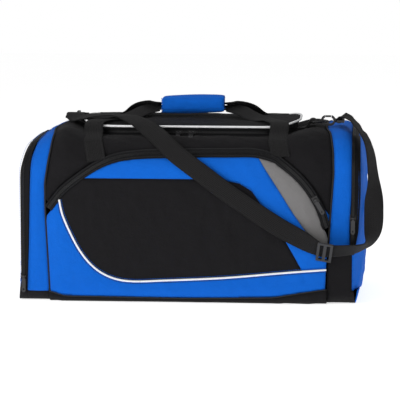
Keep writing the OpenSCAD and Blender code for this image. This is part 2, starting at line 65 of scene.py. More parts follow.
HALF = high("base_panel")[0]                 # half the main compartment's length
DEEP = high("back_wall")[1]                  # half its depth
STRIP = high("base_panel")[2]                # height of the base strip
COIL_X = (high("right_gusset_zip_tape")[0] + low("right_flap_zip_tape")[0]) / 2
FLAP_Z = low("right_flap_panel")[2]
SIDE_DEEP = -low("right_gusset")[1]          # half the depth of an end pocket
LOWER_Z = high("right_gusset_base")[2]       # top of the dark lower gusset on the right
LID_LONG = high("lid_piping")[0] - 1.8       # half-length and half-depth of the piped edge
LID_DEEP = high("lid_piping")[1] - 1.8
LID_Z = (low("lid_piping")[2] + high("lid_piping")[2]) / 2
LID_R = 68.0                                 # corner radius of the lid
RIM_IN = LID_DEEP - high("lid_zip_tape")[1]  # the zip stands this far inside the piping
LID_COIL = (low("lid_zip_tape")[2] + high("mouth_zip_tape")[2]) / 2
WEB = 32.0                                   # width of the webbing
WEB_T = 2.2                                  # its thickness
BASE_R = 22.0                                # radius of the body's lower edge


# ---------- small helpers ----------

def smooth(a, b, v):
    t = np.clip((np.asarray(v, float) - a) / (b - a), 0, 1)
    return t * t * (3 - 2 * t)


def fbm(x, y, size, seed):
    """Soft noise about -1 to 1 over two coordinates, with features of the given size."""
    x, y = np.broadcast_arrays(np.asarray(x, float), np.asarray(y, float))
    out = np.empty(x.size)
    for i, (a, b) in enumerate(zip(x.ravel(), y.ravel())):
        p = Vector((a / size, b / size, seed * 7.31))
        out[i] = noise.noise(p) + 0.45 * noise.noise(p * 2.1)
    return out.reshape(x.shape)


def creases(x, y, length, width, angle, seed):
    """Long soft folds that run at an angle: sharp crests, broad valleys, 0 to 1."""
    c, s = math.cos(math.radians(angle)), math.sin(math.radians(angle))
    along, across = np.asarray(x) * c + np.asarray(y) * s, -np.asarray(x) * s + np.asarray(y) * c
    return np.clip(1 - np.abs(fbm(along / length * width, across, width, seed)) * 2.2, 0, 1) ** 2


def arc(cx, cz, r, a0, a1, n):
    t = np.radians(np.linspace(a0, a1, n + 1))
    return [(cx + r * math.cos(a), cz + r * math.sin(a)) for a in t]


def dense(points, step, closed=True):
    """The same outline with no gap over step between points."""
    p = np.asarray(points, float)
    out = []
    for i in range(len(p) if closed else len(p) - 1):
        a, b = p[i], p[(i + 1) % len(p)]
        n = max(1, int(math.ceil(np.linalg.norm(b - a) / step)))
        out += [a + (b - a) * k / n for k in range(n)]
    if not closed:
        out.append(p[-1])
    return np.array(out)


def inside(points, polygon):
    """Which points lie inside a polygon."""
    x, y = points[:, 0], points[:, 1]
    hit = np.zeros(len(points), bool)
    a, b = polygon, np.roll(polygon, -1, 0)
    for (x0, y0), (x1, y1) in zip(a, b):
        if y0 == y1:
            continue
        cross = (y0 > y) != (y1 > y)
        hit ^= cross & (x < (x1 - x0) * (y - y0) / (y1 - y0) + x0)
    return hit


def new_mesh(name, verts, faces, material, cloth=None, body="bag", flat=False):
    """An object from vertices in millimetres, riding on a body if one is given."""
    mesh = bpy.data.meshes.new(name)
    places = [tuple(v) for v in np.asarray(verts, float) * MM]
    mesh.from_pydata(places, [], [tuple(int(i) for i in f) for f in faces])
    mesh.validate()
    mesh.update()
    if not flat:
        mesh.polygons.foreach_set("use_smooth", [True] * len(mesh.polygons))
    if cloth is not None:
        at = mesh.attributes.new("cloth", "FLOAT_VECTOR", "POINT")
        c = np.zeros((len(verts), 3), np.float32)
        c[:, :2] = np.asarray(cloth, float)[:, :2] * MM
        at.data.foreach_set("vector", c.ravel())
    obj = bpy.data.objects.new(name, mesh)
    bpy.context.scene.collection.objects.link(obj)
    mesh.materials.append(material)
    if body:
        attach(obj, body)
    return obj


def thicken(obj, thick):
    """Gives a sheet its thickness, inwards."""
    m = obj.modifiers.new("thickness", "SOLIDIFY")
    m.thickness = thick * MM
    m.offset = -1
    m.use_even_offset = False
    return obj


# ---------- materials ----------

class Nodes:
    """A short way to write a node tree."""

    def __init__(self, name):
        self.material = bpy.data.materials.new(name)
        self.material.use_nodes = True
        self.tree = self.material.node_tree
        self.bsdf = self.tree.nodes["Principled BSDF"]

    def add(self, kind, **values):
        node = self.tree.nodes.new(kind)
        for key, value in values.items():
            if hasattr(node, key):
                setattr(node, key, value)
            else:
                node.inputs[key].default_value = value
        return node

    def link(self, a, b):
        self.tree.links.new(a, b)

    def math(self, op, a, b=None):
        node = self.tree.nodes.new("ShaderNodeMath")
        node.operation = op
        for k, v in enumerate((a, b)):
            if v is None:
                continue
            if isinstance(v, (int, float)):
                node.inputs[k].default_value = v
            else:
                self.link(v, node.inputs[k])
        return node.outputs[0]

    def mix(self, factor, a, b):
        node = self.tree.nodes.new("ShaderNodeMix")
        node.data_type = "RGBA"
        for socket, v in zip((node.inputs[0], node.inputs[6], node.inputs[7]), (factor, a, b)):
            if isinstance(v, tuple):
                socket.default_value = (*v, 1)
            elif isinstance(v, (int, float)):
                socket.default_value = v
            else:
                self.link(v, socket)
        return node.outputs[2]

    def bump(self, height, distance):
        node = self.add("ShaderNodeBump", Strength=1.0, Distance=distance)
        self.link(height, node.inputs["Height"])
        self.link(node.outputs[0], self.bsdf.inputs["Normal"])


    def cloth(self):
        """The woven sheet's own two coordinates, in metres, and noise textures laid on them."""
        at = self.add("ShaderNodeAttribute", attribute_name="cloth")
        split = self.add("ShaderNodeSeparateXYZ")
        self.link(at.outputs["Vector"], split.inputs[0])

        def noise_at(**values):
            texture = self.add("ShaderNodeTexNoise", **values)
            self.link(at.outputs["Vector"], texture.inputs["Vector"])
            return texture.outputs[0]

        return split.outputs[0], split.outputs[1], noise_at

    def wave(self, along, pitch):
        """A sine along a coordinate, one turn to a pitch."""
        return self.math("SINE", self.math("MULTIPLY", along, 2 * math.pi / pitch))

    def sheen(self, specular, weight, rough):
        self.bsdf.inputs["Specular IOR Level"].default_value = specular
        self.bsdf.inputs["Sheen Weight"].default_value = weight
        self.bsdf.inputs["Sheen Roughness"].default_value = rough


def shade(colour, k):
    return tuple(min(1, c * k) for c in colour)


def woven(name, colour, pitch, rough=0.85, patchy=0.16, rib=0.0):
    """Plain-woven polyester: over-and-under yarns, a soft unevenness, and soft creases in the cloth."""
    m = Nodes(name)
    x, y, noise_at = m.cloth()
    weave = m.math("MULTIPLY", m.wave(x, pitch), m.wave(y, pitch))
    if rib:
        turns = 2 * math.pi / rib
        diagonal = m.math("ADD", m.math("MULTIPLY", x, turns), m.math("MULTIPLY", y, turns))
        weave = m.math("ADD", m.math("MULTIPLY", weave, 0.4), m.math("SINE", diagonal))
    cloud = noise_at(Scale=30.0, Detail=4.0, Roughness=0.6)
    slub = noise_at(Scale=520.0, Detail=3.0, Roughness=0.7)
    # Painted shade of the weave: the colour is a little lighter where the yarns rise and darker where they dip, on
    # top of a tone that varies at random with the cloud and slub noise.
    tone = m.math("ADD", m.math("MULTIPLY", cloud, 0.5),
                  m.math("ADD", m.math("MULTIPLY", slub, 0.35), m.math("MULTIPLY", weave, 0.12)))
    m.link(m.mix(tone, shade(colour, 1 - patchy), shade(colour, 1 + patchy)), m.bsdf.inputs["Base Color"])
    relief = m.math("ADD", m.math("MULTIPLY", weave, 0.5), slub)
    m.bump(m.math("ADD", relief, m.math("MULTIPLY", cloud, 16.0)), 0.0002)
    m.link(m.math("ADD", m.math("MULTIPLY", cloud, 0.12), rough - 0.06), m.bsdf.inputs["Roughness"])
    m.sheen(0.12, 0.03, 0.45)
    return m.material


def webbing_with_painted_shade(name, colour):
    """Coarse woven webbing: rows of slanted floats with ribbed edges. Its colour follows the weave's height: painted
    highlight on the raised floats and cords, painted shade in the grooves.
    """
    m = Nodes(name)
    x, y, noise_at = m.cloth()
    zigzag = m.math("ABSOLUTE", m.wave(y, 0.0107))
    slope = m.math("ADD", m.math("MULTIPLY", x, 2 * math.pi / 0.0030), m.math("MULTIPLY", zigzag, 3.2))
    floats = m.math("SINE", slope)
    cords = m.math("ABSOLUTE", m.wave(y, 0.0054))
    slub = noise_at(Scale=900.0, Detail=2.0)
    cloud = noise_at(Scale=45.0, Detail=3.0)
    height = m.math("ADD", m.math("MULTIPLY", floats, 0.5), m.math("ADD", cords, m.math("MULTIPLY", slub, 0.5)))
    # Painted shade: the colour is lighter on the raised floats and cords and darker in the grooves between them,
    # with a random cloud of tone on top.
    tone = m.math("ADD", m.math("MULTIPLY", height, 0.3), m.math("MULTIPLY", cloud, 0.45))
    m.link(m.mix(tone, shade(colour, 0.6), shade(colour, 1.6)), m.bsdf.inputs["Base Color"])
    m.bump(height, 0.0005)
    m.link(m.math("ADD", m.math("MULTIPLY", cloud, 0.15), 0.62), m.bsdf.inputs["Roughness"])
    m.sheen(0.16, 0.03, 0.4)
    return m.material


def moulded(name, colour, rough=0.5, metallic=0.0, grain=2200.0, depth=0.00005):
    """Smooth moulded or cast material with a fine grain, paler in patches."""
    m = Nodes(name)
    at = m.add("ShaderNodeTexCoord")
    fine = m.add("ShaderNodeTexNoise", Scale=grain, Detail=2.0)
    wear = m.add("ShaderNodeTexNoise", Scale=90.0, Detail=4.0, Roughness=0.7)
    m.link(at.outputs["Object"], fine.inputs["Vector"])
    m.link(at.outputs["Object"], wear.inputs["Vector"])
    m.link(m.mix(wear.outputs[0], shade(colour, 0.75), shade(colour, 1.35)), m.bsdf.inputs["Base Color"])
    m.bump(fine.outputs[0], depth)
    m.link(m.math("ADD", m.math("MULTIPLY", wear.outputs[0], 0.25), rough - 0.12), m.bsdf.inputs["Roughness"])
    m.bsdf.inputs["Metallic"].default_value = metallic
    return m.material


BLACK = (0.0088, 0.0082, 0.0094)
BLUE = (0.0015, 0.122, 0.60)
GREY = (0.19, 0.185, 0.185)
black_cloth = woven("black_polyester", BLACK, 0.0011, rough=0.78, patchy=0.5)
blue_cloth = woven("blue_polyester", BLUE, 0.0011, rough=0.75, patchy=0.16)
grey_cloth = woven("grey_polyester", GREY, 0.0011, rough=0.8, patchy=0.12)
grip_cloth = woven("grip_polyester", BLUE, 0.0012, rough=0.75, patchy=0.12)
lining_cloth = woven("lining_polyester", (0.02, 0.02, 0.022), 0.0009, rough=0.7, patchy=0.2)
tape_cloth = woven("zip_tape_weave", (0.008, 0.008, 0.009), 0.0008, rough=0.75, patchy=0.2, rib=0.0022)
black_webbing = webbing_with_painted_shade("black_webbing", (0.0092, 0.0088, 0.0092))
piping_vinyl = moulded("white_piping", (0.93, 0.93, 0.96), rough=0.42, grain=900.0, depth=0.00003)
coil_nylon = moulded("black_coil", (0.012, 0.012, 0.013), rough=0.35)
black_metal = moulded("black_enamel", (0.022, 0.022, 0.023), rough=0.32, metallic=0.5)
puller_metal = moulded("gunmetal", (0.035, 0.035, 0.037), rough=0.3, metallic=0.6)
black_plastic = moulded("black_acetal", (0.014, 0.014, 0.015), rough=0.45, grain=1500.0)
black_thread = woven("black_thread", (0.03, 0.03, 0.032), 0.0006, rough=0.6)
blue_thread = woven("blue_thread", (0.004, 0.11, 0.52), 0.0006, rough=0.6)
board_plastic = moulded("base_board_plastic", (0.05, 0.05, 0.05), rough=0.6)


# ---------- camera, light and floor ----------

def aim(obj, place, target):
    obj.location = Vector(place) * MM
    obj.rotation_euler = (Vector(target) * MM - obj.location).to_track_quat("-Z", "Y").to_euler()


# The camera's place, in mm and degrees, and the width it takes in at its target.
VIEW = {"target": (11, 0, 155.7), "distance": 4000.0, "azimuth": 4.3, "elevation": 7.5, "width": 692.0}


def camera():
    a, e = math.radians(VIEW["azimuth"]), math.radians(VIEW["elevation"])
    d = Vector((math.sin(a) * math.cos(e), -math.cos(a) * math.cos(e), math.sin(e)))
    data = bpy.data.cameras.new("camera")
    data.sensor_width = 36
    data.lens = data.sensor_width * VIEW["distance"] / VIEW["width"]
    obj = bpy.data.objects.new("camera", data)
    bpy.context.scene.collection.objects.link(obj)
    aim(obj, Vector(VIEW["target"]) + d * VIEW["distance"], VIEW["target"])
    bpy.context.scene.camera = obj


def light(name, place, size, power):
    data = bpy.data.lights.new(name, "AREA")
    data.shape = "RECTANGLE"
    data.size, data.size_y = size
    data.energy = power
    obj = bpy.data.objects.new(name, data)
    bpy.context.scene.collection.objects.link(obj)
    aim(obj, place, (0, 0, 150))


def studio():
    light("key", (-1500, -1700, 1300), (1.6, 1.2), 24)
    light("fill", (1500, -1500, 900), (1.4, 1.2), 3)
    light("top", (0, 300, 1900), (2.0, 1.4), 8)
    light("front", (-200, -2600, 500), (2.4, 1.2), 7)
    world = bpy.data.worlds.new("studio")
    world.use_nodes = True
    tree = world.node_tree
    seen = tree.nodes.new("ShaderNodeLightPath")
    level = tree.nodes.new("ShaderNodeMapRange")
    level.inputs["To Min"].default_value, level.inputs["To Max"].default_value = 0.3, 1.0
    tree.links.new(seen.outputs["Is Camera Ray"], level.inputs["Value"])
    tree.links.new(level.outputs["Result"], tree.nodes["Background"].inputs[1])
    tree.nodes["Background"].inputs[0].default_value = (1, 1, 1, 1)
    bpy.context.scene.world = world
    floor()
    bpy.context.scene.view_settings.view_transform = "Standard"


def floor():
    m = Nodes("pale_floor")
    grain = m.add("ShaderNodeTexNoise", Scale=6.0, Detail=3.0)
    m.link(m.mix(grain.outputs[0], (0.93, 0.93, 0.93), (0.97, 0.97, 0.97)), m.bsdf.inputs["Base Color"])
    m.bsdf.inputs["Roughness"].default_value = 0.9
    m.bsdf.inputs["Emission Color"].default_value = (1, 1, 1, 1)
    m.bsdf.inputs["Emission Strength"].default_value = 0.7
    side = 6.0                               # metres from the middle to an edge
    mesh = bpy.data.meshes.new("floor")
    corners = [(-side, -side, 0), (side, -side, 0), (side, side, 0), (-side, side, 0)]
    mesh.from_pydata(corners, [], [(0, 1, 2, 3)])
    obj = bpy.data.objects.new("floor", mesh)
    bpy.context.scene.collection.objects.link(obj)
    mesh.materials.append(m.material)


camera()
studio()


# ---------- the stuffed body's surface ----------

R_TOP = 50.0                                 # radius of the shoulders


def soft_table(points):
    """A smooth curve along a short list of (place, value): the straight lines between them, rounded off."""
    xs, vs = zip(*points)
    grid = np.arange(xs[0] - 60, xs[-1] + 60, 1.0)
    line = np.interp(grid, xs, vs)
    kernel = np.hanning(21)
    padded = np.pad(line, len(kernel) // 2, mode="edge")
    line = np.convolve(padded, kernel / kernel.sum(), mode="valid")
    return lambda x: np.interp(x, grid, line)


# The height of the top along the bag, and how far out each line of the ends lies at a place along the section.
crest = soft_table([(-299, 226), (-290, 240), (-280, 252), (-262, 264), (-245, 271), (-228, 279), (-214, 284),
                    (-200, 285), (-186, 282), (-165, 277), (-150, 275.5), (150, 275.5), (168, 278), (184, 283),
                    (196, 285.5), (212, 285.5), (226, 284), (239, 282.5), (255, 282.5), (268, 281.5), (280, 277),
                    (290, 269), (299, 257)])
seam_right = soft_table([(-200, 231), (0, 231), (60, 233), (150, 238), (220, 243), (256, 242), (290, 238),
                         (320, 233), (345, 230), (460, 229)])
seam_left = soft_table([(-200, -231), (20, -231), (153, -238), (198, -238.5), (252, -229), (290, -226),
                        (340, -233), (400, -237), (460, -237)])
tape_right = soft_table([(-200, 272), (140, 272), (190, 274.5), (270, 275), (460, 274)])
tape_left = soft_table([(-200, -272), (18, -271), (86, -268), (200, -265), (244, -263), (270, -257), (300, -250),
                        (460, -248)])
coil_right = soft_table([(-200, COIL_X), (460, COIL_X)])
coil_left = soft_table([(-200, -COIL_X), (225, -COIL_X), (270, 8 - COIL_X), (310, 14 - COIL_X),
                        (460, 14 - COIL_X)])
rim_right = soft_table([(-200, 275), (76, 275), (98, 279), (125, 284), (190, 287), (280, 286), (460, 284)])
rim_left = soft_table([(-200, -279), (225, -279), (270, -271), (310, -265.5), (460, -265.5)])
strip_top = soft_table([(-300, 18), (-231, 18), (-206, 12), (0, 10.5), (144, 13), (194, 20), (239, 26),
                        (300, 26)])      # height of the base strip's front hem along the bag


def half_depth(x):
    """Half the body's depth, which draws in at the ends."""
    a = np.abs(x)
    main = DEEP - 4 * smooth(200, HALF, a)
    ends = SIDE_DEEP + 2 - 22 * (1 - np.sqrt(1 - np.clip((a - 276) / 26, 0, 1) ** 2))
    return np.where(a < HALF, main, ends)


def middle(x):
    """How far along the section the middle of the top is."""
    return crest(x) - R_TOP + math.pi * R_TOP / 2 + half_depth(x) - R_TOP


def surface(x, s, out=0.0, side=None):
    """Points and normals on the bag. s is the height up the front, goes on over the top and down the back.
    With a side, -1 front and 1 back, s is the height up that side."""
    x, s, out = [np.asarray(v, float) for v in np.broadcast_arrays(x, s, out)]
    d, h = half_depth(x), crest(x)
    top = h - R_TOP
    if side is None:
        side = np.where(s > middle(x), 1.0, -1.0)
        s = np.where(side > 0, 2 * middle(x) - s, s)
    a = np.clip((s - top) / R_TOP, 0, math.pi / 2)
    c = np.clip((BASE_R - s) / BASE_R, 0, math.pi / 2)
    flat = np.maximum(s - top - math.pi * R_TOP / 2, 0)
    floor = np.maximum(BASE_R - math.pi * BASE_R / 2 - s, 0)
    y = d - R_TOP * (1 - np.cos(a)) - BASE_R * (1 - np.cos(c)) - flat - floor
    z = np.clip(s, BASE_R, top) + R_TOP * np.sin(a) - BASE_R * np.sin(c)
    full = 5 * smooth(185, 215, np.abs(x)) * (1 - smooth(265, 292, np.abs(x)))
    z = z + full * np.clip(1 - (y / d) ** 2, 0, 1) * np.sin(a) ** 4
    ny, nz = np.cos(a) * np.cos(c), np.sin(a) - np.sin(c)
    z = np.maximum(z + nz * out, 0.4)
    points = np.stack([x, side * (y + ny * out), z], -1)
    return points, np.stack([np.zeros_like(x), side * ny, nz], -1)


def front_s(x, z):
    """The place along the section of height z on the front."""
    x, z = np.broadcast_arrays(np.asarray(x, float), np.asarray(z, float))
    top = crest(x) - R_TOP
    up = top + R_TOP * np.arcsin(np.clip((z - top) / R_TOP, 0, 1))
    down = BASE_R - BASE_R * np.arcsin(np.clip((BASE_R - z) / BASE_R, 0, 1))
    return np.where(z > top, up, np.where(z < BASE_R, down, z))


def top_s(x, y):
    """The place along the section that lies at depth y on the flat top."""
    return middle(x) + y


def to_s(outline, closed=False):
    """A line of heights on the front as places along the section."""
    p = dense(outline, 5.0, closed)
    return np.stack([p[:, 0], front_s(p[:, 0], p[:, 1])], -1)


def front_line(line, out):
    """Points and normals along a line on the front, standing out from the body."""
    return surface(line[:, 0], front_s(line[:, 0], line[:, 1]), out)


# ---------- fabric panels ----------

def lattice(loops, step):
    """Points inside the first loop and outside the others, clear of them all."""
    lo, hi = loops[0].min(0), loops[0].max(0)
    gx, gy = np.meshgrid(np.arange(lo[0], hi[0], step), np.arange(lo[1], hi[1], step * 0.87))
    gx[1::2] += step / 2
    p = np.stack([gx.ravel(), gy.ravel()], -1)
    keep = inside(p, loops[0])
    for hole in loops[1:]:
        keep &= ~inside(p, hole)
    return p[keep]


def triangles(loops, cuts, step):
    """A mesh of the area inside the first loop, with edges along every loop and cut."""
    lines = [(dense(p, step * 0.7), True) for p in loops] + [(dense(p, step * 0.7, False), False) for p in cuts]
    p = lattice([a for a, shut in lines if shut], step)
    gap = np.full(len(p), 1e9)
    for line, shut in lines:
        gap = np.minimum(gap, line_distance(p, line, shut))
    p = p[gap > step * 0.45]
    points, edges = [], []
    for line, shut in lines:
        n, at = len(line), len(points)
        points += list(line)
        edges += [(at + i, at + (i + 1) % n) for i in range(n if shut else n - 1)]
    points += list(p)
    out = delaunay_2d_cdt([Vector(map(float, q)) for q in points], edges, [], 0, 1e-4)
    verts = np.array([tuple(v) for v in out[0]])
    faces = np.array([tuple(f) for f in out[2] if len(f) == 3])
    centre = verts[faces].mean(1)
    keep = inside(centre, lines[0][0])
    for line, shut in lines[1:]:
        if shut:
            keep &= ~inside(centre, line)
    return verts, faces[keep], lines


def line_distance(points, line, shut=False):
    """Each point's distance to the nearest part of a line."""
    best = np.full(len(points), 1e9)
    ends = np.roll(line, -1, 0) if shut else line[1:]
    for a, b in zip(line, ends):
        d = b - a
        t = np.clip(((points - a) @ d) / max(d @ d, 1e-9), 0, 1)
        best = np.minimum(best, np.linalg.norm(points - a - t[:, None] * d, axis=1))
    return best


def stuffed(p, d, seed, puff, dip, wrinkle, reach=26.0):
    """How far stuffed fabric stands out at points p that are d from the nearest seam."""
    swell = puff * (1 - np.exp(-d / reach)) - dip * np.exp(-d / 2.2)
    folds = fbm(p[:, 0], p[:, 1], 62, seed) * 1.5 + fbm(p[:, 0], p[:, 1], 24, seed + 3) * 0.5
    long_folds = creases(p[:, 0], p[:, 1], 150, 34, 28 + 31 * seed, seed + 5) * 1.3
    gathers = fbm(p[:, 0], p[:, 1], 7.5, seed + 9) * 0.55 * np.exp(-d / 9)
    return swell + wrinkle * (folds + long_folds) * smooth(0, 24, d) + gathers * smooth(0, 2.5, d)


def panels(made, loops, cuts=(), layer=0.4, step=4.2, seed=1, puff=2.6, dip=1.6, wrinkle=1.4, most=99.0, extra=None):
    """Fabric panels cut from one area of the body. made lists (name, test, material, slot, replaced nodes).
    layer is how far out the cloth lies and most is how far its stuffing may push it."""
    verts, faces, lines = triangles(loops, cuts, step)
    d = np.full(len(verts), 1e9)
    for line, shut in lines:
        d = np.minimum(d, line_distance(verts, line, shut))
    out = stuffed(verts, d, seed, puff, dip, wrinkle)
    if extra is not None:
        out = out + extra(verts[:, 0], verts[:, 1])
    points, _ = surface(verts[:, 0], verts[:, 1], layer + np.minimum(out, most))
    centre = verts[faces].mean(1)
    for name, test, material, slot, nodes in made:
        mine = faces[test(centre[:, 0], centre[:, 1])] if test else faces
        used, back = np.unique(mine, return_inverse=True)
        obj = new_mesh(name, points[used], back.reshape(-1, 3), material, verts[used])
        thicken(obj, 1.3)
        if nodes:
            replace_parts(obj, *nodes)


def grid(name, points, material, cloth, body="bag", slot=None, thick=1.2, closed=(False, False)):
    """A sheet from rows of points, smooth and given a thickness."""
    rows, cols = points.shape[:2]
    faces = []
    for i in range(rows if closed[0] else rows - 1):
        for j in range(cols if closed[1] else cols - 1):
            a, b = i, (i + 1) % rows
            c, e = j, (j + 1) % cols
            faces.append((a * cols + c, a * cols + e, b * cols + e, b * cols + c))
    obj = new_mesh(name, points.reshape(-1, 3), faces, material, cloth.reshape(-1, 2), body)
    return thicken(obj, thick) if thick else obj


# ---------- lines on and off the surface ----------

def smooth_line(points, step=3.0, shut=False):
    """A Catmull-Rom curve through points of any number of values."""
    p = np.asarray(points, float)
    out = []
    for i in range(len(p) if shut else len(p) - 1):
        q = [p[(i + k) % len(p)] if shut else p[min(max(i + k, 0), len(p) - 1)] for k in (-1, 0, 1, 2)]
        n = max(1, int(np.linalg.norm(q[2][:3] - q[1][:3]) / step))
        for t in np.arange(n) / n:
            out.append(0.5 * (2 * q[1] + (q[2] - q[0]) * t + (2 * q[0] - 5 * q[1] + 4 * q[2] - q[3]) * t * t
                              + (3 * q[1] - q[0] - 3 * q[2] + q[3]) * t ** 3))
    if not shut:
        out.append(p[-1])
    return np.array(out)


def tangents(p, shut=False):
    t = np.roll(p, -1, 0) - np.roll(p, 1, 0) if shut else np.gradient(p, axis=0)
    return t / np.maximum(np.linalg.norm(t, axis=1, keepdims=True), 1e-9)


def lengths(p):
    return np.concatenate([[0], np.cumsum(np.linalg.norm(np.diff(p, axis=0), axis=1))])


def spaced(p, normals, step, shut=False):
    """Points an equal way apart along a line, with their tangents and normals."""
    if shut:
        p, normals = np.vstack([p, p[:1]]), np.vstack([normals, normals[:1]])
    s = lengths(p)
    at = np.arange(step / 2, s[-1], step)
    q = np.stack([np.interp(at, s, p[:, k]) for k in range(3)], -1)
    n = np.stack([np.interp(at, s, normals[:, k]) for k in range(3)], -1)
    t = tangents(q)
    n -= (n * t).sum(1, keepdims=True) * t
    n /= np.maximum(np.linalg.norm(n, axis=1, keepdims=True), 1e-9)
    return q, t, n


def tube(name, p, r, material, sides=10, shut=False, body="bag", slot=None):
    """A round cord along a line."""
    t = tangents(p, shut)
    n = np.zeros_like(p)
    seed = np.array([0, 0, 1.0]) if abs(t[0][2]) < 0.8 else np.array([0, 1.0, 0])
    n[0] = np.cross(t[0], seed)
    for i in range(1, len(p)):
        n[i] = n[i - 1]
        n[i] -= (n[i] @ t[i]) * t[i]
        n[i] /= np.linalg.norm(n[i])
    n[0] /= np.linalg.norm(n[0])
    b = np.cross(t, n)
    angle = np.linspace(0, 2 * math.pi, sides, endpoint=False)
    c, s = np.cos(angle)[None, :, None], np.sin(angle)[None, :, None]
    ring = p[:, None] + r * (c * n[:, None] + s * b[:, None])
    cloth = np.stack(np.broadcast_arrays(lengths(p)[:, None], r * angle[None]), -1)
    obj = grid(name, ring[:, ::-1], material, cloth, body, slot, thick=0, closed=(shut, True))
    if not shut:
        close_ends(obj, sides, len(p))
    return obj


def close_ends(obj, sides, rows):
    """Caps both ends of a tube made by grid()."""
    bm = bmesh.new()
    bm.from_mesh(obj.data)
    bm.verts.ensure_lookup_table()
    bm.faces.new([bm.verts[i] for i in range(sides)][::-1])
    bm.faces.new([bm.verts[(rows - 1) * sides + i] for i in range(sides)])
    bmesh.ops.recalc_face_normals(bm, faces=bm.faces)
    bm.to_mesh(obj.data)
    bm.free()


def ribbon(name, p, w, material, width=WEB, thick=WEB_T, body="bag", slot="black_webbing"):
    """Woven webbing along a line whose width runs along w: flat faces, round ribbed edges."""
    t = tangents(p)
    w = w - (w * t).sum(1, keepdims=True) * t
    w /= np.linalg.norm(w, axis=1, keepdims=True)
    n = np.cross(t, w)
    u = np.array([-0.5, -0.46, -0.3, 0, 0.3, 0.46, 0.5, 0.46, 0.3, 0, -0.3, -0.46]) * width
    v = np.array([0, -0.42, -0.5, -0.46, -0.5, -0.42, 0, 0.42, 0.5, 0.46, 0.5, 0.42]) * thick
    ring = p[:, None] + u[None, :, None] * w[:, None] + v[None, :, None] * n[:, None]
    cloth = np.stack(np.broadcast_arrays(lengths(p)[:, None], u[None] + 100 * (v > 0)), -1)
    obj = grid(name, ring, material, cloth, body, slot, thick=0, closed=(False, True))
    close_ends(obj, len(u), len(p))
    return obj


def boxes(name, centres, axes, size, material, body="bag", taper=0.7):
    """Many small blocks with pinched tops, for zip teeth and stitches: axes are along, across and up."""
    corner = np.array([(-1, -1, 0), (1, -1, 0), (1, 1, 0), (-1, 1, 0),
                       (-taper, -1, 1), (taper, -1, 1), (taper, 1, 1), (-taper, 1, 1)], float)
    corner *= np.array([size[0] / 2, size[1] / 2, size[2]])
    verts = centres[:, None] + sum(corner[None, :, k, None] * axes[k][:, None] for k in range(3))
    quads = np.array([(0, 3, 2, 1), (4, 5, 6, 7), (0, 1, 5, 4), (1, 2, 6, 5), (2, 3, 7, 6), (3, 0, 4, 7)])
    faces = (np.arange(len(centres))[:, None, None] * 8 + quads[None]).reshape(-1, 4)
    cloth = np.zeros((len(centres) * 8, 2))
    return new_mesh(name, verts.reshape(-1, 3), faces, material, cloth, body, flat=True)


def stitches(name, p, normals, material=None, length=2.9, gap=1.1, body="bag", shut=False):
    """A row of lockstitches laid on a line."""
    q, t, n = spaced(np.asarray(p, float), np.asarray(normals, float), length + gap, shut)
    size = (length, 0.6, 0.45)
    return boxes(name, q, (t, np.cross(n, t), n), size, material or black_thread, body, taper=0.8)


def coil(name, p, normals, body="bag", shut=False, width=4.6, pitch=1.7, height=1.3):
    """A closed zip's coil: a row of rounded teeth across a line."""
    q, t, n = spaced(np.asarray(p, float), np.asarray(normals, float), pitch, shut)
    size = (pitch * 0.72, width, height)
    return boxes(name, q, (t, np.cross(n, t), n), size, coil_nylon, body, 0.45)


def join(name, objects):
    """Several objects of one kind as one piece."""
    first = objects[0]
    with bpy.context.temp_override(active_object=first, object=first, selected_objects=objects,
                                   selected_editable_objects=objects):
        bpy.ops.object.join()
    first.name = name
    return first


# ---------- front pocket ----------

ARCH_C, ARCH_R = (64, 92.5), 172.6          # the round right side of the pocket's zip


def arch_line():
    """The middle line of the pocket's arched zip, left to right."""
    left = [(-244, 145), (-233, 159), (-209, 189), (-178, 214), (-160, 226), (-144, 234.5), (-125, 241.5),
            (-100, 246.5)]
    top = [(-60, 249.5), (20, 251.5), (70, 252), (112, 252)]
    return smooth_line(left + top + arc(*ARCH_C, ARCH_R, 62, 14, 12) + [(236, 127), (242, 121)], 4.0)


def offset(line, d):
    """The line moved sideways by d."""
    t = tangents(line)
    return line + d * np.stack([-t[:, 1], t[:, 0]], -1)


ARCH = arch_line()
TAPE_HALF = 6.0                              # how far each side of the zip its tape shows


def pocket_edge():
    """The pocket's fabric: under the zip's lower tape, inside the end seams, down to the base strip."""
    over = offset(ARCH, -TAPE_HALF)
    left = [(float(seam_left(z)) + 0.8, z) for z in (20, 60, 100, 138)]
    right = [(float(seam_right(z)) - 0.8, z) for z in (112, 88, 60, 28)]
    base = [(x, float(strip_top(x))) for x in np.linspace(230, -230, 24)]
    over = over[(over[:, 0] > left[-1][0] + 1) & (over[:, 0] < right[0][0] - 1) & (over[:, 1] > 92)]
    return np.array(left + [tuple(p) for p in over] + right + base)


# The edges between the pocket's colours: the piped sweep, the blue band and the grey blade.
SWEEP = smooth_line([(-214, 174), (-212.5, 165), (-208, 147), (-197, 121), (-182, 92), (-165, 69), (-145, 52),
                     (-120, 41), (-90, 37), (-40, 39), (60, 44.5), (150, 53), (200, 57.5), (240, 60)], 5.0)
BAND = np.array([(-200, 210), (20, 210), (60, 208.5), (88, 203), (108, 191), (162, 112), (193, 57),
                 (196, 45)])
BLADE = np.array([(118, 262), (120, 244), (149, 199), (174, 159), (198, 124), (224, 96)])


def above(line, x, z):
    return z > np.interp(x, line[:, 0], line[:, 1])


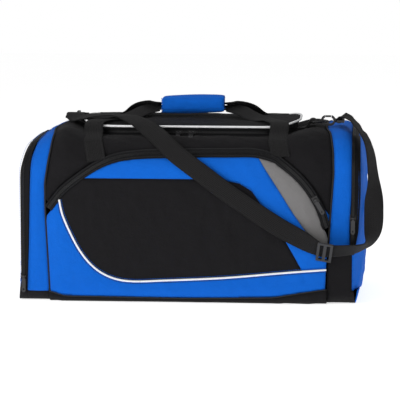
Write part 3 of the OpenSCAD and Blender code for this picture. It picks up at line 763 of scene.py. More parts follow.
def pocket():
    """The pocket's four colours of cloth, with the white piping along the sweep."""
    sweep, band, blade = [to_s(p) for p in (SWEEP, BAND, BLADE)]
    shape = np.vstack([sweep, [(300, 60), (300, 400), (-217, 400)]])

    def in_sweep(x, s):
        return inside(np.stack([x, s], -1), shape)

    def in_band(x, s):
        return above(band, x, s) & (x > -210)

    def in_blade(x, s):
        return above(blade, x, s) & (x > 112)

    made = [
        ("pocket_blue_base_cloth", lambda x, s: ~in_sweep(x, s), blue_cloth, "blue_polyester",
         ["pocket_blue_base"]),
        ("pocket_black_cloth", lambda x, s: in_sweep(x, s) & ~in_band(x, s), black_cloth, "black_polyester",
         ["pocket_black_panel"]),
        ("pocket_blue_band_cloth", lambda x, s: in_sweep(x, s) & in_band(x, s) & ~in_blade(x, s), blue_cloth,
         "blue_polyester", ["pocket_blue_band"]),
        ("pocket_grey_cloth", lambda x, s: in_sweep(x, s) & in_blade(x, s), grey_cloth, "grey_polyester",
         ["pocket_grey_panel"]),
    ]
    panels(made, [to_s(pocket_edge(), closed=True)], [sweep, band, blade], layer=5.0, step=4.0, seed=2,
           dip=1.3, wrinkle=1.3, most=3.6)
    line = dense(SWEEP[SWEEP[:, 0] < 234], 3.0, False)
    p, n = front_line(line, 5.7)
    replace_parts(tube("pocket_piping_cord", p, 1.75, piping_vinyl, slot="white_piping"), "pocket_piping")
    for k, d in enumerate((3.6, -3.6)):
        row = offset(line, d)
        p, n = front_line(row, 5.6)
        stitches(f"piping_stitches_{k}", p, n, (blue_thread, black_thread)[k])


def arch_zip():
    """The two tapes of the arched zip and its coil."""
    line = ARCH[(ARCH[:, 0] > -236) & (ARCH[:, 0] < 236)]
    for name, far, rise, node in (("pocket_tape_lower", -TAPE_HALF - 1, 5.0, "pocket_zip_tape"),
                                  ("pocket_tape_upper", TAPE_HALF + 1, 3.6, "pocket_zip_upper")):
        d = np.sort(np.linspace(0.3 * np.sign(far), far, 6))
        band = np.stack([offset(line, k) for k in d], 0)
        out = np.interp(np.abs(d), [0, 3, abs(far)], [5.4, 5.0, rise])[:, None] + 0 * band[:, :, 0]
        ridge = 0.5 * np.exp(-((np.abs(d) - 3.6) / 0.8) ** 2)[:, None]
        p, _ = surface(band[:, :, 0], front_s(band[:, :, 0], band[:, :, 1]), out + ridge)
        obj = grid(name, p, tape_cloth, band, slot="zip_tape", thick=1.0)
        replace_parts(obj, node)
    p, n = front_line(line, 5.2)
    coil("pocket_coil", p, n)
    for k, (d, out) in enumerate(((-TAPE_HALF + 1.3, 5.9), (TAPE_HALF - 0.9, 4.9))):
        row = offset(line, d)
        p, n = front_line(row, out)
        stitches(f"arch_stitches_{k}", p, n)


# ---------- yoke, back and base ----------

def lid_ring(g, step=6.0):
    """The lid's outline in plan, grown by g."""
    lx, ly, r = LID_LONG - LID_R, LID_DEEP - LID_R, LID_R + g
    p = []
    for sx, sy, a in ((1, 1, 0), (-1, 1, 90), (-1, -1, 180), (1, -1, 270)):
        p += arc(sx * lx, sy * ly, r, a, a + 90, 16)
    return dense(p, step)


def yoke():
    """The top: over the shoulders from the arched zip to the seam across the back, round the mouth."""
    arch = offset(ARCH, TAPE_HALF)
    arch = arch[(arch[:, 0] > -234) & (arch[:, 0] < 237)]
    low_edge = to_s(arch)
    back_z = high("back_wall")[2]
    right = [(float(seam_right(q)) - 0.8, q) for q in np.linspace(front_s(236, 137) + 2, 300, 14)]
    left = [(float(seam_left(q)) + 0.8, q) for q in np.linspace(float(low_edge[0, 1]) + 4, 300, 10)]

    def over(edge, seam):
        """On from the front seam over the top to the back seam."""
        x0 = edge[-1][0]
        end = 2 * float(middle(x0)) - float(front_s(x0, back_z))
        s = np.linspace(edge[-1][1], end, 30)[1:]
        return edge + [(float(seam(min(v, 2 * float(middle(x0)) - v))) - 0.8 * np.sign(x0), v) for v in s]

    right, left = over(right, seam_right), over(left, seam_left)
    across = np.linspace(right[-1][0], left[-1][0], 60)[1:-1]
    back = [(x, 2 * float(middle(x)) - float(front_s(x, back_z))) for x in across]
    outline = np.array([tuple(p) for p in low_edge] + right + back + left[::-1])
    ring = lid_ring(-RIM_IN + 1.0)
    hole = np.stack([ring[:, 0], top_s(ring[:, 0], ring[:, 1])], -1)

    def shape(x, s):
        """Flatter under the ring tabs, and a soft hollow beside each leg of the handles."""
        m = middle(x)
        y = np.where(s > m, s - m, m - s)
        tab = np.exp(-((np.abs(x) - 208) / 22) ** 2 - ((s - m - 66 * (x < 0) + 45 * (x > 0)) / 22) ** 2)
        leg = np.exp(-((np.abs(x) - 131) / 9) ** 2) * smooth(95, 130, y)
        return -4.0 * tab - 1.2 * leg

    def corner(x, s):
        return (x > 215) & (s < 161 - 1.3 * (x - 229))

    panels([("yoke_cloth", lambda x, s: ~corner(x, s), black_cloth, "black_polyester",
             ["front_yoke", "back_yoke", "left_end_yoke", "right_end_yoke"]),
            ("pocket_corner_cloth", corner, blue_cloth, "blue_polyester", [])],
           [outline, hole], [np.array([(219, 174), (236, 151.9)])], step=4.6, seed=4, most=3.4, extra=shape)
    ring = lid_ring(-RIM_IN + 4.0)
    p, n = surface(ring[:, 0], top_s(ring[:, 0], ring[:, 1]), 1.0)
    stitches("mouth_stitches", p, n, shut=True)


def back_panel():
    """The plain back, from the base strip up to the seam under the yoke."""
    back_z = high("back_wall")[2]
    left = [(float(seam_left(z)) + 0.8, z) for z in np.linspace(STRIP - 4, back_z, 14)]
    right = [(float(seam_right(z)) - 0.8, z) for z in np.linspace(back_z, STRIP - 4, 14)]
    hem = [(x, STRIP - 4) for x in np.linspace(right[-1][0], left[0][0], 60)[1:-1]]
    top = [(x, back_z) for x in np.linspace(left[-1][0], right[0][0], 60)[1:-1]]

    def over_back(points):
        return [(x, 2 * float(middle(x)) - float(front_s(x, z))) for x, z in points]

    outline = over_back(right + hem + left + top)
    panels([("back_cloth", None, black_cloth, "black_polyester", ["back_wall"])], [np.array(outline)],
           step=5.0, seed=7, puff=3.0, wrinkle=1.9)
    x = np.linspace(-225, 230, 120)
    for k, z in enumerate((back_z - 4, back_z + 4)):
        p, n = surface(x, front_s(x, z), 1.6, side=1.0)
        stitches(f"back_seam_stitches_{k}", p, n)


def base():
    """The wipe-clean base: up to a wavy hem in front, under the bag and up the back."""
    x = np.linspace(-232.5, 233.5, 110)
    floor_s = BASE_R - math.pi * BASE_R / 2 - (half_depth(x) - BASE_R)
    rows = []
    for v in np.linspace(0, 1, 26):
        s = front_s(x, strip_top(x)) * (1 - v) + floor_s * v
        sag = 0.9 * fbm(x, s * 0 + v * 60, 30, 21) * (v < 0.2)
        rows.append(surface(x, s, 5.4 * (1 - v) ** 0.5 * (v < 0.45) + sag + 0.4, side=-1.0)[0])
    for v in np.linspace(1, 0, 26)[1:]:
        s = STRIP * (1 - v) + floor_s * v
        rows.append(surface(x, s, 0.8, side=1.0)[0])
    points = np.array(rows)[::-1][:, ::-1]
    cloth = np.stack(np.broadcast_arrays(x[None, ::-1], lengths(points[:, 0])[:, None]), -1)
    obj = grid("base_cloth", points[::-1], black_cloth, cloth, slot="black_polyester", thick=1.4)
    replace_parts(obj, "base_panel")
    p, n = surface(x, front_s(x, strip_top(x) + 1.0), 6.2, side=-1.0)
    tube("base_binding", p, 0.9, black_thread, sides=8)


# ---------- end pockets ----------

def around(x, z0):
    """Places along the section from height z0 in front, over the top and down to z0 behind, a row for each
    row of x."""
    s0, m = front_s(x, z0), middle(x)
    v = np.linspace(0, 1, len(x))[:, None]
    return np.where(v < 0.5, s0 + (m - s0) * 2 * v, m + (m - s0) * (2 * v - 1))


def under(x, z0):
    """From height z0 in front down round the floor to z0 behind: places and sides."""
    s0 = front_s(x, z0)
    low_s = BASE_R - math.pi * BASE_R / 2 - (half_depth(x) - BASE_R)
    v = np.linspace(0, 1, len(x))[:, None]
    s = np.where(v < 0.5, s0 + (low_s - s0) * 2 * v, low_s + (s0 - low_s) * (2 * v - 1))
    return s, np.where(v < 0.5, -1.0, 1.0) + 0 * s


def heights(sign, at, z0, n):
    """How far up the section each row of an end's strip lies, measured from the nearer side."""
    rough = around(np.full((n, 1), sign * at), z0)
    return np.minimum(rough, 2 * middle(sign * at) - rough)


def between(a, b, n):
    """n columns of values from a to b."""
    t = np.linspace(0, 1, n)
    return a * (1 - t) + b * t


def ends(sign):
    """An end's seam, and the places of its zip: where the gusset stops, the coil, and where the flap starts."""
    if sign > 0:
        return seam_right, tape_right, coil_right, rim_right
    return seam_left, tape_left, coil_left, rim_left


def turned(sign):
    """The order of a strip's columns that turns its faces outwards."""
    return slice(None) if sign > 0 else slice(None, None, -1)


def end_pocket(sign, name, z0):
    """The blue gusset of an end pocket, between its seam and its zip, above height z0."""
    seam, tape = ends(sign)[:2]
    height = heights(sign, 250.0, z0, 170)
    x = between(seam(height) + sign * 0.8, tape(height), 15)
    s = around(x, z0)
    t = np.linspace(0, 1, 15)
    d = np.minimum(t, 1 - t)[None] * 36 + 0 * x
    out = 3.4 * (1 - np.exp(-d / 9)) - 1.6 * np.exp(-d / 2)
    out = out + 1.3 * fbm(x, s, 44, 30 + sign) * smooth(0, 8, d)
    out = out + 0.6 * fbm(x, s, 12, 33 + sign) * smooth(0, 3, d)
    p, _ = surface(x, s, out)
    order = turned(sign)
    cloth = np.stack([x, s], -1)[:, order]
    obj = grid(f"{name}_gusset_cloth", p[:, order], blue_cloth, cloth, slot="blue_polyester")
    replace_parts(obj, f"{name}_gusset")
    for k, u in enumerate((1, 13)):
        q, n = surface(x[:, u], s[:, u], 2.0)
        stitches(f"{name}_gusset_stitches_{k}", q, n, blue_thread)
    q, _ = surface(x[:, 0], s[:, 0], 0.1)
    tube(f"{name}_seam_binding", q, 1.5, black_thread, sides=8)


def pocket_base(sign, name, z0):
    """The base of an end pocket: a trough under the gusset and a shallow foot, rounded in plan, under the flap."""
    seam, tape = ends(sign)[:2]
    for part, z in (("gusset", z0), ("foot", low(f"{name}_flap_panel")[2] - 1.0)):
        height = np.abs(np.linspace(-1, 1, 90))[:, None] * z
        if part == "gusset":
            x = between(seam(height) + sign * 0.8, tape(height) + sign * (3.5 if z > 30 else 0), 9)
        else:
            y = np.linspace(-150, 150, 90)[:, None]
            x = between(tape(height), sign * (end_reach(sign, y, 0.0) - 1), 9)
        s, side = under(x, z)
        out = 1.5 * np.sin(np.pi * np.linspace(0, 1, 9))[None] + 0.5 * fbm(x, s * side, 24, 40 + sign) + 0.2
        p, _ = surface(x, s, out * (s > 12), side=side)
        order = turned(-sign)
        cloth = np.stack([x, s * side], -1)[:, order]
        obj = grid(f"{name}_base_{part}_cloth", p[:, order], black_cloth, cloth, slot="black_polyester")
        if part == "gusset":
            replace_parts(obj, f"{name}_gusset_base")
    edge, top_z = p[:, -1], p[:, -1, 2].max() + 2.5
    y = np.linspace(edge[0, 1], edge[-1, 1], 90)
    lines = []
    for v in np.linspace(0, 1, 8):
        z = edge[:, 2] * (1 - v) + top_z * v
        lines.append(np.stack([sign * (end_reach(sign, y, z) - 1), edge[:, 1] * (1 - v) + y * v, z], -1))
    wall = np.array(lines[::sign])
    cloth, slot = (blue_cloth, "blue_polyester") if sign > 0 else (black_cloth, "black_polyester")
    grid(f"{name}_base_end_cloth", wall, cloth, wall[:, :, 1:], slot=slot)


def end_tapes(sign, name):
    """The two tapes of an end zip: one on the gusset, one on the flap, with half of the coil on each."""
    _, tape, coil_at, rim = ends(sign)
    start = 84.0 if sign > 0 else FLAP_Z       # the right zip stops short of the foot
    height = heights(sign, 277.0, start, 200)
    order = turned(sign)
    for part, body, a, b in (("gusset", "bag", tape(height), coil_at(height) - sign * 0.4),
                             ("flap", f"{name}_flap", coil_at(height) + sign * 0.4, rim(height) + sign * 2)):
        x = between(a, b, 7)
        s = around(x, start)
        away = np.abs(x - coil_at(height))
        out = 0.5 * np.exp(-((away - 2.6) / 0.9) ** 2) + 0.2 * fbm(x, s, 14, 50) - 0.6 * smooth(5, 12, away)
        p, _ = surface(x, s, out)
        cloth = np.stack([x, s], -1)[:, order]
        obj = grid(f"{name}_{part}_tape_cloth", p[:, order], tape_cloth, cloth, body, "zip_tape", thick=1.0)
        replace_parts(obj, f"{name}_{part}_zip_tape")
        edge = coil_at(height) + sign * (-1.2 if part == "gusset" else 1.2)
        q, n = surface(edge[:, 0], around(edge, start)[:, 0], 0.2)
        coil(f"{name}_{part}_coil", q, n, body, width=2.3)


def end_reach(sign, y, z):
    """How far out a stuffed end reaches: least at its front and back, and a little less towards the top."""
    if sign > 0:
        return 298.5 - 0.0003 * y ** 2 - 12 * np.clip(1 - np.asarray(z) / 80, 0, 1) ** 2
    return np.interp(z, [0, 20, 60, 140, 230, 260], [296, 296, 292.5, 291, 289, 287]) - 0.00066 * y ** 2


def flap(sign, name):
    """A stuffed end: it turns in from its zip with a soft round edge and bulges a little."""
    rim_at = ends(sign)[3]
    height = heights(sign, 284.0, FLAP_Z, 150)
    x0 = rim_at(height)
    rim, _ = surface(x0[:, 0], around(x0, FLAP_Z)[:, 0])
    verts, faces, _ = triangles([dense(rim[:, 1:], 4.0)], [], 5.0)
    d = line_distance(verts, rim[:, 1:], False)
    start = np.abs(rim_at(front_s(sign * 284.0, verts[:, 1])))
    turn = 1 - (1 - np.clip(d / 52, 0, 1)) ** 2
    y, z = verts[:, 0], verts[:, 1]
    lumps = fbm(y, z, 60, 60 + sign) * 2.0 + fbm(y, z, 22, 63) * 0.9
    folds = creases(y, z, 170, 40, 70, 66 + sign) * 2.4
    far = end_reach(sign, y, z)
    x = start + (far - start) * turn + (lumps + folds - 1.0) * smooth(2, 30, d) - 0.8 * np.exp(-d / 1.5)
    points = np.stack([sign * x, y, z], -1)
    if sign < 0:
        faces = faces[:, ::-1]
    obj = new_mesh(f"{name}_flap_cloth", points, faces, blue_cloth, verts, f"{name}_flap")
    thicken(obj, 1.6)
    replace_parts(obj, f"{name}_flap_panel")
    inward = rim * [0, 1, 1] - [0, 0, 140]
    n = inward / np.linalg.norm(inward, axis=1, keepdims=True)
    stitches(f"{name}_flap_stitches", rim + n * 0.5 + [sign * 3.0, 0, 0], n, blue_thread, body=f"{name}_flap")


# ---------- lid ----------

def end_lift(x):
    """How far the stuffed ends of the bag lift the lid's ends."""
    return 7 * smooth(146, 188, x) + 5 * smooth(150, 188, -x)


def lid_edge(x, y):
    """Height of the lid's piped edge: it rises a little to the back and at the ends."""
    return LID_Z - 0.4 + 5.0 * smooth(-LID_DEEP, LID_DEEP, y) + end_lift(x)


def lid():
    """The crowned lid with its white piping and a row of stitches inside it."""
    ring = lid_ring(-1.2)
    verts, faces, lines = triangles([ring], [], 4.6)
    d = line_distance(verts, lines[0][0], True)
    x, y = verts[:, 0], verts[:, 1]
    crown = 6.5 * (1 - np.exp(-d / 22)) + 1.2 * np.exp(-((x + 60) / 70) ** 2) * smooth(0, 40, d)
    soft = fbm(x, y, 55, 70) * 1.1 + creases(x, y, 160, 42, 8, 71) * 1.2 + 0.4 * fbm(x, y, 18, 73)
    z = lid_edge(x, y) + crown - 1.0 * np.exp(-d / 2) + soft * smooth(2, 22, d) + 0.5
    obj = new_mesh("lid_cloth", np.stack([x, y, z], -1), faces, black_cloth, verts, "lid")
    thicken(obj, 1.6)
    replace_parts(obj, "lid_panel")
    ring = lid_ring(0.3, step=4.0)
    p = np.stack([ring[:, 0], ring[:, 1], lid_edge(ring[:, 0], ring[:, 1]) + 0.6], -1)
    obj = tube("lid_piping_cord", p, 1.9, piping_vinyl, shut=True, body="lid", slot="white_piping")
    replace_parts(obj, "lid_piping")
    ring = lid_ring(-5.2, step=4.0)
    p = np.stack([ring[:, 0], ring[:, 1], lid_edge(ring[:, 0], ring[:, 1]) + 1.5], -1)
    stitches("lid_stitches", p, np.tile([0, 0, 1.0], (len(p), 1)), body="lid", shut=True)


def rim_sheet(name, profile, body, node):
    """A strip of zip tape round the mouth. profile lists (growth of the lid's outline, height above the coil, share of the
    lid edge's rise)."""
    rows = []
    for g, z, share in profile:
        ring = lid_ring(g, step=5.0)
        n = len(lid_ring(0, step=5.0))
        at = np.linspace(0, 1, n, endpoint=False)
        shut = np.vstack([ring, ring[:1]])
        s = lengths(shut)
        q = np.stack([np.interp(at * s[-1], s, shut[:, k]) for k in range(2)], -1)
        lift = end_lift(q[:, 0])
        rise = (lid_edge(q[:, 0], q[:, 1]) - (LID_Z - 0.4) - lift) * share + lift * (0.75 + 0.25 * share)
        wave = 0.35 * fbm(q[:, 0], q[:, 1], 26, 80) * (1 - abs(2 * share - 1))
        rows.append(np.stack([q[:, 0], q[:, 1], LID_COIL + z + rise + wave], -1))
    points = np.array(rows)
    n = points.shape[1]
    across = np.array([7.0 * k for k in range(len(rows))])
    cloth = np.stack(np.broadcast_arrays(np.linspace(0, 1150, n)[None], across[:, None]), -1)
    obj = grid(name, points[::-1], tape_cloth, cloth[::-1], body, "zip_tape", thick=1.0, closed=(False, True))
    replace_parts(obj, node)


def lid_zip():
    """The zip round the mouth: the lid's skirt, the mouth's tape and half of the coil on each."""
    tape_out = -RIM_IN
    rim_sheet("lid_skirt_cloth", [(tape_out - 0.2, 0.9, 0.1), (tape_out + 0.1, 3.0, 0.4),
                                  (tape_out + 1.6, 4.0, 0.6), (tape_out + 2.2, 5.4, 0.8),
                                  (tape_out + 3.6, 7.4, 0.9), (-0.6, 9.4, 1.0)], "lid", "lid_zip_tape")
    rim_sheet("mouth_tape_cloth", [(tape_out + 3.0, -5.6, 0), (tape_out + 1.6, -5.2, 0), (tape_out + 0.9, -4.0, 0),
                                   (tape_out + 0.2, -2.6, 0), (tape_out - 0.2, -0.9, 0)],
              "bag", "mouth_zip_tape")
    ring = lid_ring(tape_out, step=4.0)
    p = np.stack([ring[:, 0], ring[:, 1], LID_COIL + 0.75 * end_lift(ring[:, 0])], -1)
    out = np.stack([np.gradient(p[:, 1]), -np.gradient(p[:, 0]), 0 * p[:, 0]], -1)
    out = -out if (out * p).sum() < 0 else out
    out /= np.linalg.norm(out, axis=1, keepdims=True)
    for name, dz, body in (("lid_coil_upper", 1.15, "lid"), ("lid_coil_lower", -1.15, "bag")):
        coil(name, p + [0, 0, dz] - out * 0.3, out, body, shut=True, width=2.2)


# ---------- webbing: handles, tabs and the strap ----------

LEG_FOOT = ((-1, -151), (1, 156))            # each side's sign and where the leg's lower end lies


def leg_x(s):
    """Where a handle leaves the shoulder."""
    return 160 if s < 0 else 150


def handle_half(s, z):
    """Half of a handle, from its root on the shoulder to the middle of the grip at height z."""
    leg = leg_x(s)
    return [(s * leg, -112, 275, s, 0, 0), (s * (leg + 1), -101, 282, s, 0, 0),
            (s * (leg + 2), -90, 292.5, s, 0, 0), (s * leg, -78, 298.5, s, 0.15, 0),
            (s * (leg - 9), -63, 300, s * 0.9, 0.4, 0), (s * 133, -50, 300.5, s * 0.75, 0.65, 0),
            (s * 116, -38, 301.5, s * 0.6, 0.76, 0.2), (s * 100, -27, z - 10.5, s * 0.45, 0.82, 0.35),
            (s * 85, -15, z - 4, s * 0.25, 0.9, 0.42), (s * 70, -5.5, z - 0.6, s * 0.1, 0.93, 0.36),
            (s * 61, 0, z, 0, 0.96, 0.2), (s * 48, 0, z, 0, 1, 0.1)]


def leg_points(s, x_low):
    """A leg's sewn part, up the front and over the shoulder, as far as the handle's root."""
    bottom = float(front_s(x_low, np.interp(x_low, ARCH[:, 0], ARCH[:, 1]) + TAPE_HALF + 1.5))
    x = np.linspace(x_low, s * leg_x(s), 8)
    top = front_s(s * leg_x(s), 268.5)
    q = np.linspace(bottom, float(top), 8)
    p, _ = surface(x, q, np.interp(np.arange(8), [0, 1, 6, 7], [3.4, 4.4, 4.6, 5.0]))
    return [(*v, s, 0, 0) for v in p]


def handles():
    """Both handles: webbing sewn up the body, free over the shoulder, and into the grip wrap."""
    grip_mid = (low("grip_wrap")[2] + high("grip_wrap")[2]) / 2
    for name, z, side in (("front_handle", grip_mid - 7, 1), ("back_handle", grip_mid + 0.5, -1)):
        halves = []
        for s, x_low in LEG_FOOT:
            route = leg_points(s, x_low) + handle_half(s, z)[1:]
            halves.append(smooth_line(route, 2.6))
        across = smooth_line([halves[0][-1], halves[1][-1]], 2.6)[1:-1]
        route = np.vstack([halves[0], across, halves[1][::-1]])
        p, w = route[:, :3].copy(), aligned(route[:, 3:])
        p[:, 1] *= side
        w[:, 1] *= side
        obj = ribbon(f"{name}_webbing_cloth", p, w, black_webbing, body=None)
        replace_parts(obj, f"{name}_webbing")
        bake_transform(obj)
    rows = []
    for side in (1, -1):
        for s, x_low in LEG_FOOT:
            leg = np.array(leg_points(s, x_low))[:, :3]
            leg[:, 1] *= side
            n = np.cross(tangents(leg), [1.0, 0, 0])
            n *= np.where((n * [0, -side, 1]).sum(1) > 0, 1, -1)[:, None]
            for dx in (-13.2, 13.2):
                line = smooth_line(leg + n * 1.15 + [dx, 0, 0], 4.0)
                normals = np.repeat(n, 1 + len(line) // len(n), 0)[:len(line)]
                rows.append(stitches("leg_stitches", line, normals))
    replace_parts(join("handle_leg_stitches", rows), "handle_legs")


def aligned(w):
    """Width directions turned so that each follows the one before."""
    w = w.copy()
    for i in range(1, len(w)):
        if w[i] @ w[i - 1] < 0:
            w[i] = -w[i]
    return w


def grip():
    """The padded wrap round both handles."""
    lo, hi = np.array(low("grip_wrap")), np.array(high("grip_wrap"))
    half, mid = (hi - lo) / 2, (hi + lo) / 2
    around_n, rows = 56, 42

    def tilt(x):
        """The wrap stands a little higher at its right end."""
        return 1.3 * x / half[0] - 0.5

    a = np.linspace(0, 2 * math.pi, around_n, endpoint=False)
    cy, cz = np.cos(a), np.sin(a)
    power = 0.42                             # between 0, a square section, and 1, a round one
    section = np.stack([np.sign(c) * np.abs(c) ** power * h for c, h in ((cy, half[1]), (cz, half[2]))], -1)
    rings, cloth = [], []
    left_end = [(-1.0, 0.80, 6), (-1.0, 0.82, 2), (-1.0, 0.9, 0)]     # side, size of the section, inset
    right_end = [(1.0, k, inset) for _, k, inset in left_end[::-1]]
    length = [(u, 1 - 0.07 * abs(u) ** 8, 0) for u in np.linspace(-1, 1, rows)]
    for u, k, inset in left_end + length + right_end:
        x = mid[0] + u * (half[0] - 1.5) - np.sign(u) * inset
        y, z = section[:, 0] * k, section[:, 1] * k * 0.97
        wave = 0.5 * fbm(np.full(around_n, x), a * 18, 24, 90) + 0.25 * fbm(np.full(around_n, x), a * 18, 8, 91)
        rings.append(np.stack([np.full(around_n, x), y + wave * cy, z + mid[2] + wave * cz + tilt(x)], -1))
        cloth.append(np.stack([np.full(around_n, x), a * 22], -1))
    obj = grid("grip_wrap_cloth", np.array(rings), grip_cloth, np.array(cloth), "front_handle", "grip_fabric",
               thick=0, closed=(False, True))
    close_ends(obj, around_n, len(rings))
    inflate(obj, cap=2.2, pressure=3.0)
    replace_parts(obj, "grip_wrap")
    x = np.linspace(lo[0] + 3, hi[0] - 3, 60)
    front = mid[1] - half[1]
    for k, dz in enumerate((-6.5, 11.5)):
        p = np.stack([x, np.full(60, front - 0.3), mid[2] + dz + tilt(x)], -1)
        stitches(f"grip_stitches_{k}", p, np.tile([0, -1.0, 0], (60, 1)), blue_thread, body="front_handle")
    for k, sx in enumerate((-1, 1)):
        z = np.linspace(mid[2] - half[2] + 3, mid[2] + half[2] - 3, 16)
        p = np.stack([np.full(16, mid[0] + sx * (half[0] - 4.5)), np.full(16, front - 0.2), z], -1)
        stitches(f"grip_end_stitches_{k}", p, np.tile([0, -1.0, 0], (16, 1)), blue_thread, body="front_handle")


def inflate(obj, cap, pressure):
    """Puffs a closed cloth piece with the cloth solver, no point moving further than cap millimetres."""
    remesh = obj.modifiers.new("remesh", "REMESH")
    remesh.mode, remesh.voxel_size = "VOXEL", 4 * MM
    scene = bpy.context.scene
    apply_modifiers(obj)
    start = np.array([v.co for v in obj.data.vertices])
    cloth = obj.modifiers.new("cloth", "CLOTH")
    cloth.settings.use_pressure = True
    cloth.settings.uniform_pressure_force = pressure
    cloth.settings.effector_weights.gravity = 0
    frames = 20
    cloth.point_cache.frame_start, cloth.point_cache.frame_end = 1, frames
    for f in range(1, frames + 1):
        scene.frame_set(f)
    apply_modifiers(obj)
    scene.frame_set(1)
    end = np.array([v.co for v in obj.data.vertices])
    move = end - start
    far = np.linalg.norm(move, axis=1, keepdims=True)
    move *= np.minimum(1, cap * MM / np.maximum(far, 1e-9))
    obj.data.vertices.foreach_set("co", (start + move).astype(np.float32).ravel())
    at = obj.data.attributes.get("cloth") or obj.data.attributes.new("cloth", "FLOAT_VECTOR", "POINT")
    c = np.zeros((len(start), 3), np.float32)
    c[:, 0], c[:, 1] = start[:, 0], start[:, 2] + start[:, 1]
    at.data.foreach_set("vector", c.ravel())
    sub = obj.modifiers.new("smooth", "SUBSURF")
    sub.levels = sub.render_levels = 1
    obj.data.polygons.foreach_set("use_smooth", [True] * len(obj.data.polygons))
    obj.data.update()


def apply_modifiers(obj):
    """Makes the object's evaluated shape its own."""
    graph = bpy.context.evaluated_depsgraph_get()
    graph.update()
    mesh = bpy.data.meshes.new_from_object(obj.evaluated_get(graph))
    old, name = obj.data, obj.data.name
    obj.modifiers.clear()
    obj.data = mesh
    bpy.data.meshes.remove(old)
    mesh.name = name


# The strap's middle line from the left hook to the right one, with the direction of its width at each point.
STRAP_ROUTE = [
    (-204, 20.2, 294, 1, 0, 0), (-204, 20, 299, 1, 0, 0), (-204, 16, 303.5, 1, 0, 0),
    (-204, 6, 305.5, 1, 0, 0), (-204, -5, 303.5, 1, 0.05, 0.05), (-201.5, -14, 300.5, 0.95, 0.2, 0.2),
    (-195, -22, 299.5, 0.8, 0.5, 0.3), (-183, -29, 302, 0.5, 0.8, 0.25), (-165, -36, 305, 0.25, 0.95, 0.1),
    (-142, -43, 306.5, 0.2, 1, 0), (-121, -52, 306.5, 0.4, 0.9, 0), (-103, -65, 303.5, 0.6, 0.75, 0.2),
    (-86, -81, 298.5, 0.7, 0.6, 0.3), (-70, -98, 290.5, 0.7, 0.4, 0.5), (-55, -116, 281.5, 0.7, 0.3, 0.6),
    (-40, -135.5, 271, 0.6, 0.2, 0.7), (-22, -152.5, 256.5, 0.6, 0.1, 0.8), (-2, -159, 241.5, 0.6, 0, 0.8),
    (16, -159.5, 228, 0.6, 0, 0.8), (36, -159.5, 213, 0.6, 0, 0.8), (60, -159.5, 195, 0.6, 0, 0.8),
    (86, -159.5, 177, 0.6, 0, 0.8), (126, -159.5, 150, 0.55, 0, 0.83), (160, -160, 129, 0.5, 0, 0.86),
    (192, -160.5, 112, 0.45, -0.2, 0.86), (206, -161, 104, 0.4, -0.4, 0.8),
    (217.5, -161.5, 98.3, 0.38, -0.55, 0.72), (230.5, -162, 94.3, 0.36, -0.6, 0.7),
    (243.5, -162.5, 93.8, 0.34, -0.62, 0.7), (257, -162.5, 94.5, 0.12, -0.7, 0.7),
    (272, -161.5, 95.8, 0, -0.76, 0.64), (286, -159.5, 98.3, -0.08, -0.85, 0.5),
    (298, -156.5, 103, -0.18, -0.93, 0.33), (305, -153.5, 112.5, -0.6, -0.75, 0.25),
    (309.5, -151.5, 127, -0.88, -0.4, 0.2), (311, -150, 144, -1, -0.1, 0.05), (311, -149.5, 160, -1, 0, 0),
    (311, -149.5, 177, -0.97, -0.25, 0), (311, -149.5, 194, -0.8, -0.6, 0), (310, -149, 212, -0.6, -0.8, 0),
    (308, -147, 230, -0.5, -0.86, 0), (306, -145, 247, -0.45, -0.88, 0),
    (303, -141.5, 262.5, -0.4, -0.9, 0.1), (298, -134.5, 276, -0.33, -0.94, 0.1),
    (290.5, -119.5, 287.5, -0.25, -0.96, 0.1), (283, -101, 294.5, -0.15, -0.98, 0.1),
    (276, -83, 300.5, -0.05, -1, 0), (268, -67, 304.5, 0, -1, 0), (261, -55, 306, 0, -1, 0),
    (255.8, -47.5, 304.5, 0, -1, 0), (253.9, -45, 301.5, 0, -1, 0), (253.9, -45, 297, 0, -1, 0),
]


def strap():
    """The shoulder strap, clipped to the ring at each end."""
    route = smooth_line(STRAP_ROUTE, 2.6)
    p, w = route[:, :3], aligned(route[:, 3:])
    obj = ribbon("shoulder_strap_webbing", p, w, black_webbing)
    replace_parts(obj, "shoulder_strap")


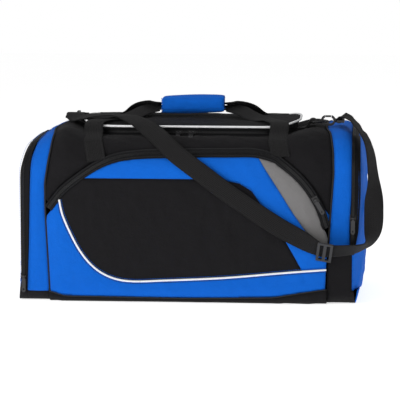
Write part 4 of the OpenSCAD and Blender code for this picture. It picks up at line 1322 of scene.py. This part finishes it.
def ring_tabs():
    """Each strap ring's tab: a fold of webbing round the ring's bar, sewn down on the top."""
    made = []
    for side, node in ((-1, "left_ring"), (1, "right_ring")):
        lo, hi = np.array(low(node)), np.array(high(node))
        bar = (lo + hi) / 2
        if side < 0:
            bar[1], along = hi[1] - 2, np.array([0, 1.0, 0])
        else:
            bar[0], along = lo[0] + 2, np.array([-1.0, 0, 0])
        wide = np.cross([0, 0, 1.0], along)
        place = bar + along * 16
        floor = float(surface(place[0], top_s(place[0], place[1]), 0.0)[0][2]) - 1.0
        r = 3.5                              # radius of the fold round the bar
        loop = [(26, floor + 1.5), (12, floor + 2.2), (5, bar[2] - 3.0)]
        loop += [(-r * math.sin(t), bar[2] - r * math.cos(t)) for t in np.linspace(0.3, math.pi - 0.3, 7)]
        loop += [(5.5, bar[2] + 2.2), (13, floor + 5.0), (27, floor + 3.8)]
        p = smooth_line([bar + along * a + [0, 0, z - bar[2]] for a, z in loop], 1.8)
        made.append(ribbon("tab", p, np.tile(wide, (len(p), 1)), black_webbing, width=30, thick=1.8))
    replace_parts(join("ring_tab_webbing", made), "ring_tabs")


# ---------- inside ----------

def lining():
    """The lining of the front wall and of both dividers, seen when the lid is open."""
    x = np.linspace(-225, 225, 60)
    rows = []
    for v in np.linspace(0, 1, 40):
        s = 12 * (1 - v) + front_s(x, 215) * v
        rows.append(surface(x, s, -4.5 + 1.2 * fbm(x, s, 50, 95), side=-1.0)[0])
    p = np.array(rows)
    obj = grid("front_wall_lining", p, lining_cloth, p[:, :, [0, 2]], slot="lining", thick=1.0)
    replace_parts(obj, "front_wall")
    for name, sign in (("left", -1), ("right", 1)):
        rows = []
        lo, hi = low(f"{name}_divider"), high(f"{name}_divider")
        for v in np.linspace(0, 1, 40):
            z = np.full(40, lo[2] + (hi[2] - 4 - lo[2]) * v)
            top = crest(sign * HALF) - 6 - R_TOP
            half = SIDE_DEEP - 4 - R_TOP * (1 - math.sqrt(max(0, 1 - max(0, (z[0] - top) / R_TOP) ** 2)))
            y = np.linspace(-half, half, 40)
            x = (lo[0] + hi[0]) / 2 + 1.6 * fbm(y, z, 55, 97)
            rows.append(np.stack([np.clip(x, lo[0] - 0.3, hi[0] + 0.3), y, z], -1))
        p = np.array(rows)
        obj = grid(f"{name}_divider_lining", p, lining_cloth, p[:, :, 1:], slot="lining", thick=0.8)
        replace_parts(obj, f"{name}_divider")


def finish_cad_nodes():
    """Materials for the hard pieces that stay as the CAD made them."""
    hard = {"slider": black_metal, "puller": puller_metal, "ring": black_metal, "hook": black_plastic,
            "gate": black_metal, "adjuster": black_plastic, "board": board_plastic}
    for name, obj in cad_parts.items():
        for word, material in hard.items():
            if word in name.split("_") or name.endswith(word):
                obj.data.materials.clear()
                obj.data.materials.append(material)


strap()
pocket()
arch_zip()
yoke()
back_panel()
base()
for sign, name, base_top in ((-1, "left", STRIP), (1, "right", LOWER_Z)):
    end_pocket(sign, name, base_top)
    pocket_base(sign, name, base_top)
    end_tapes(sign, name)
    flap(sign, name)
lid()
lid_zip()
handles()
grip()
ring_tabs()
lining()
finish_cad_nodes()
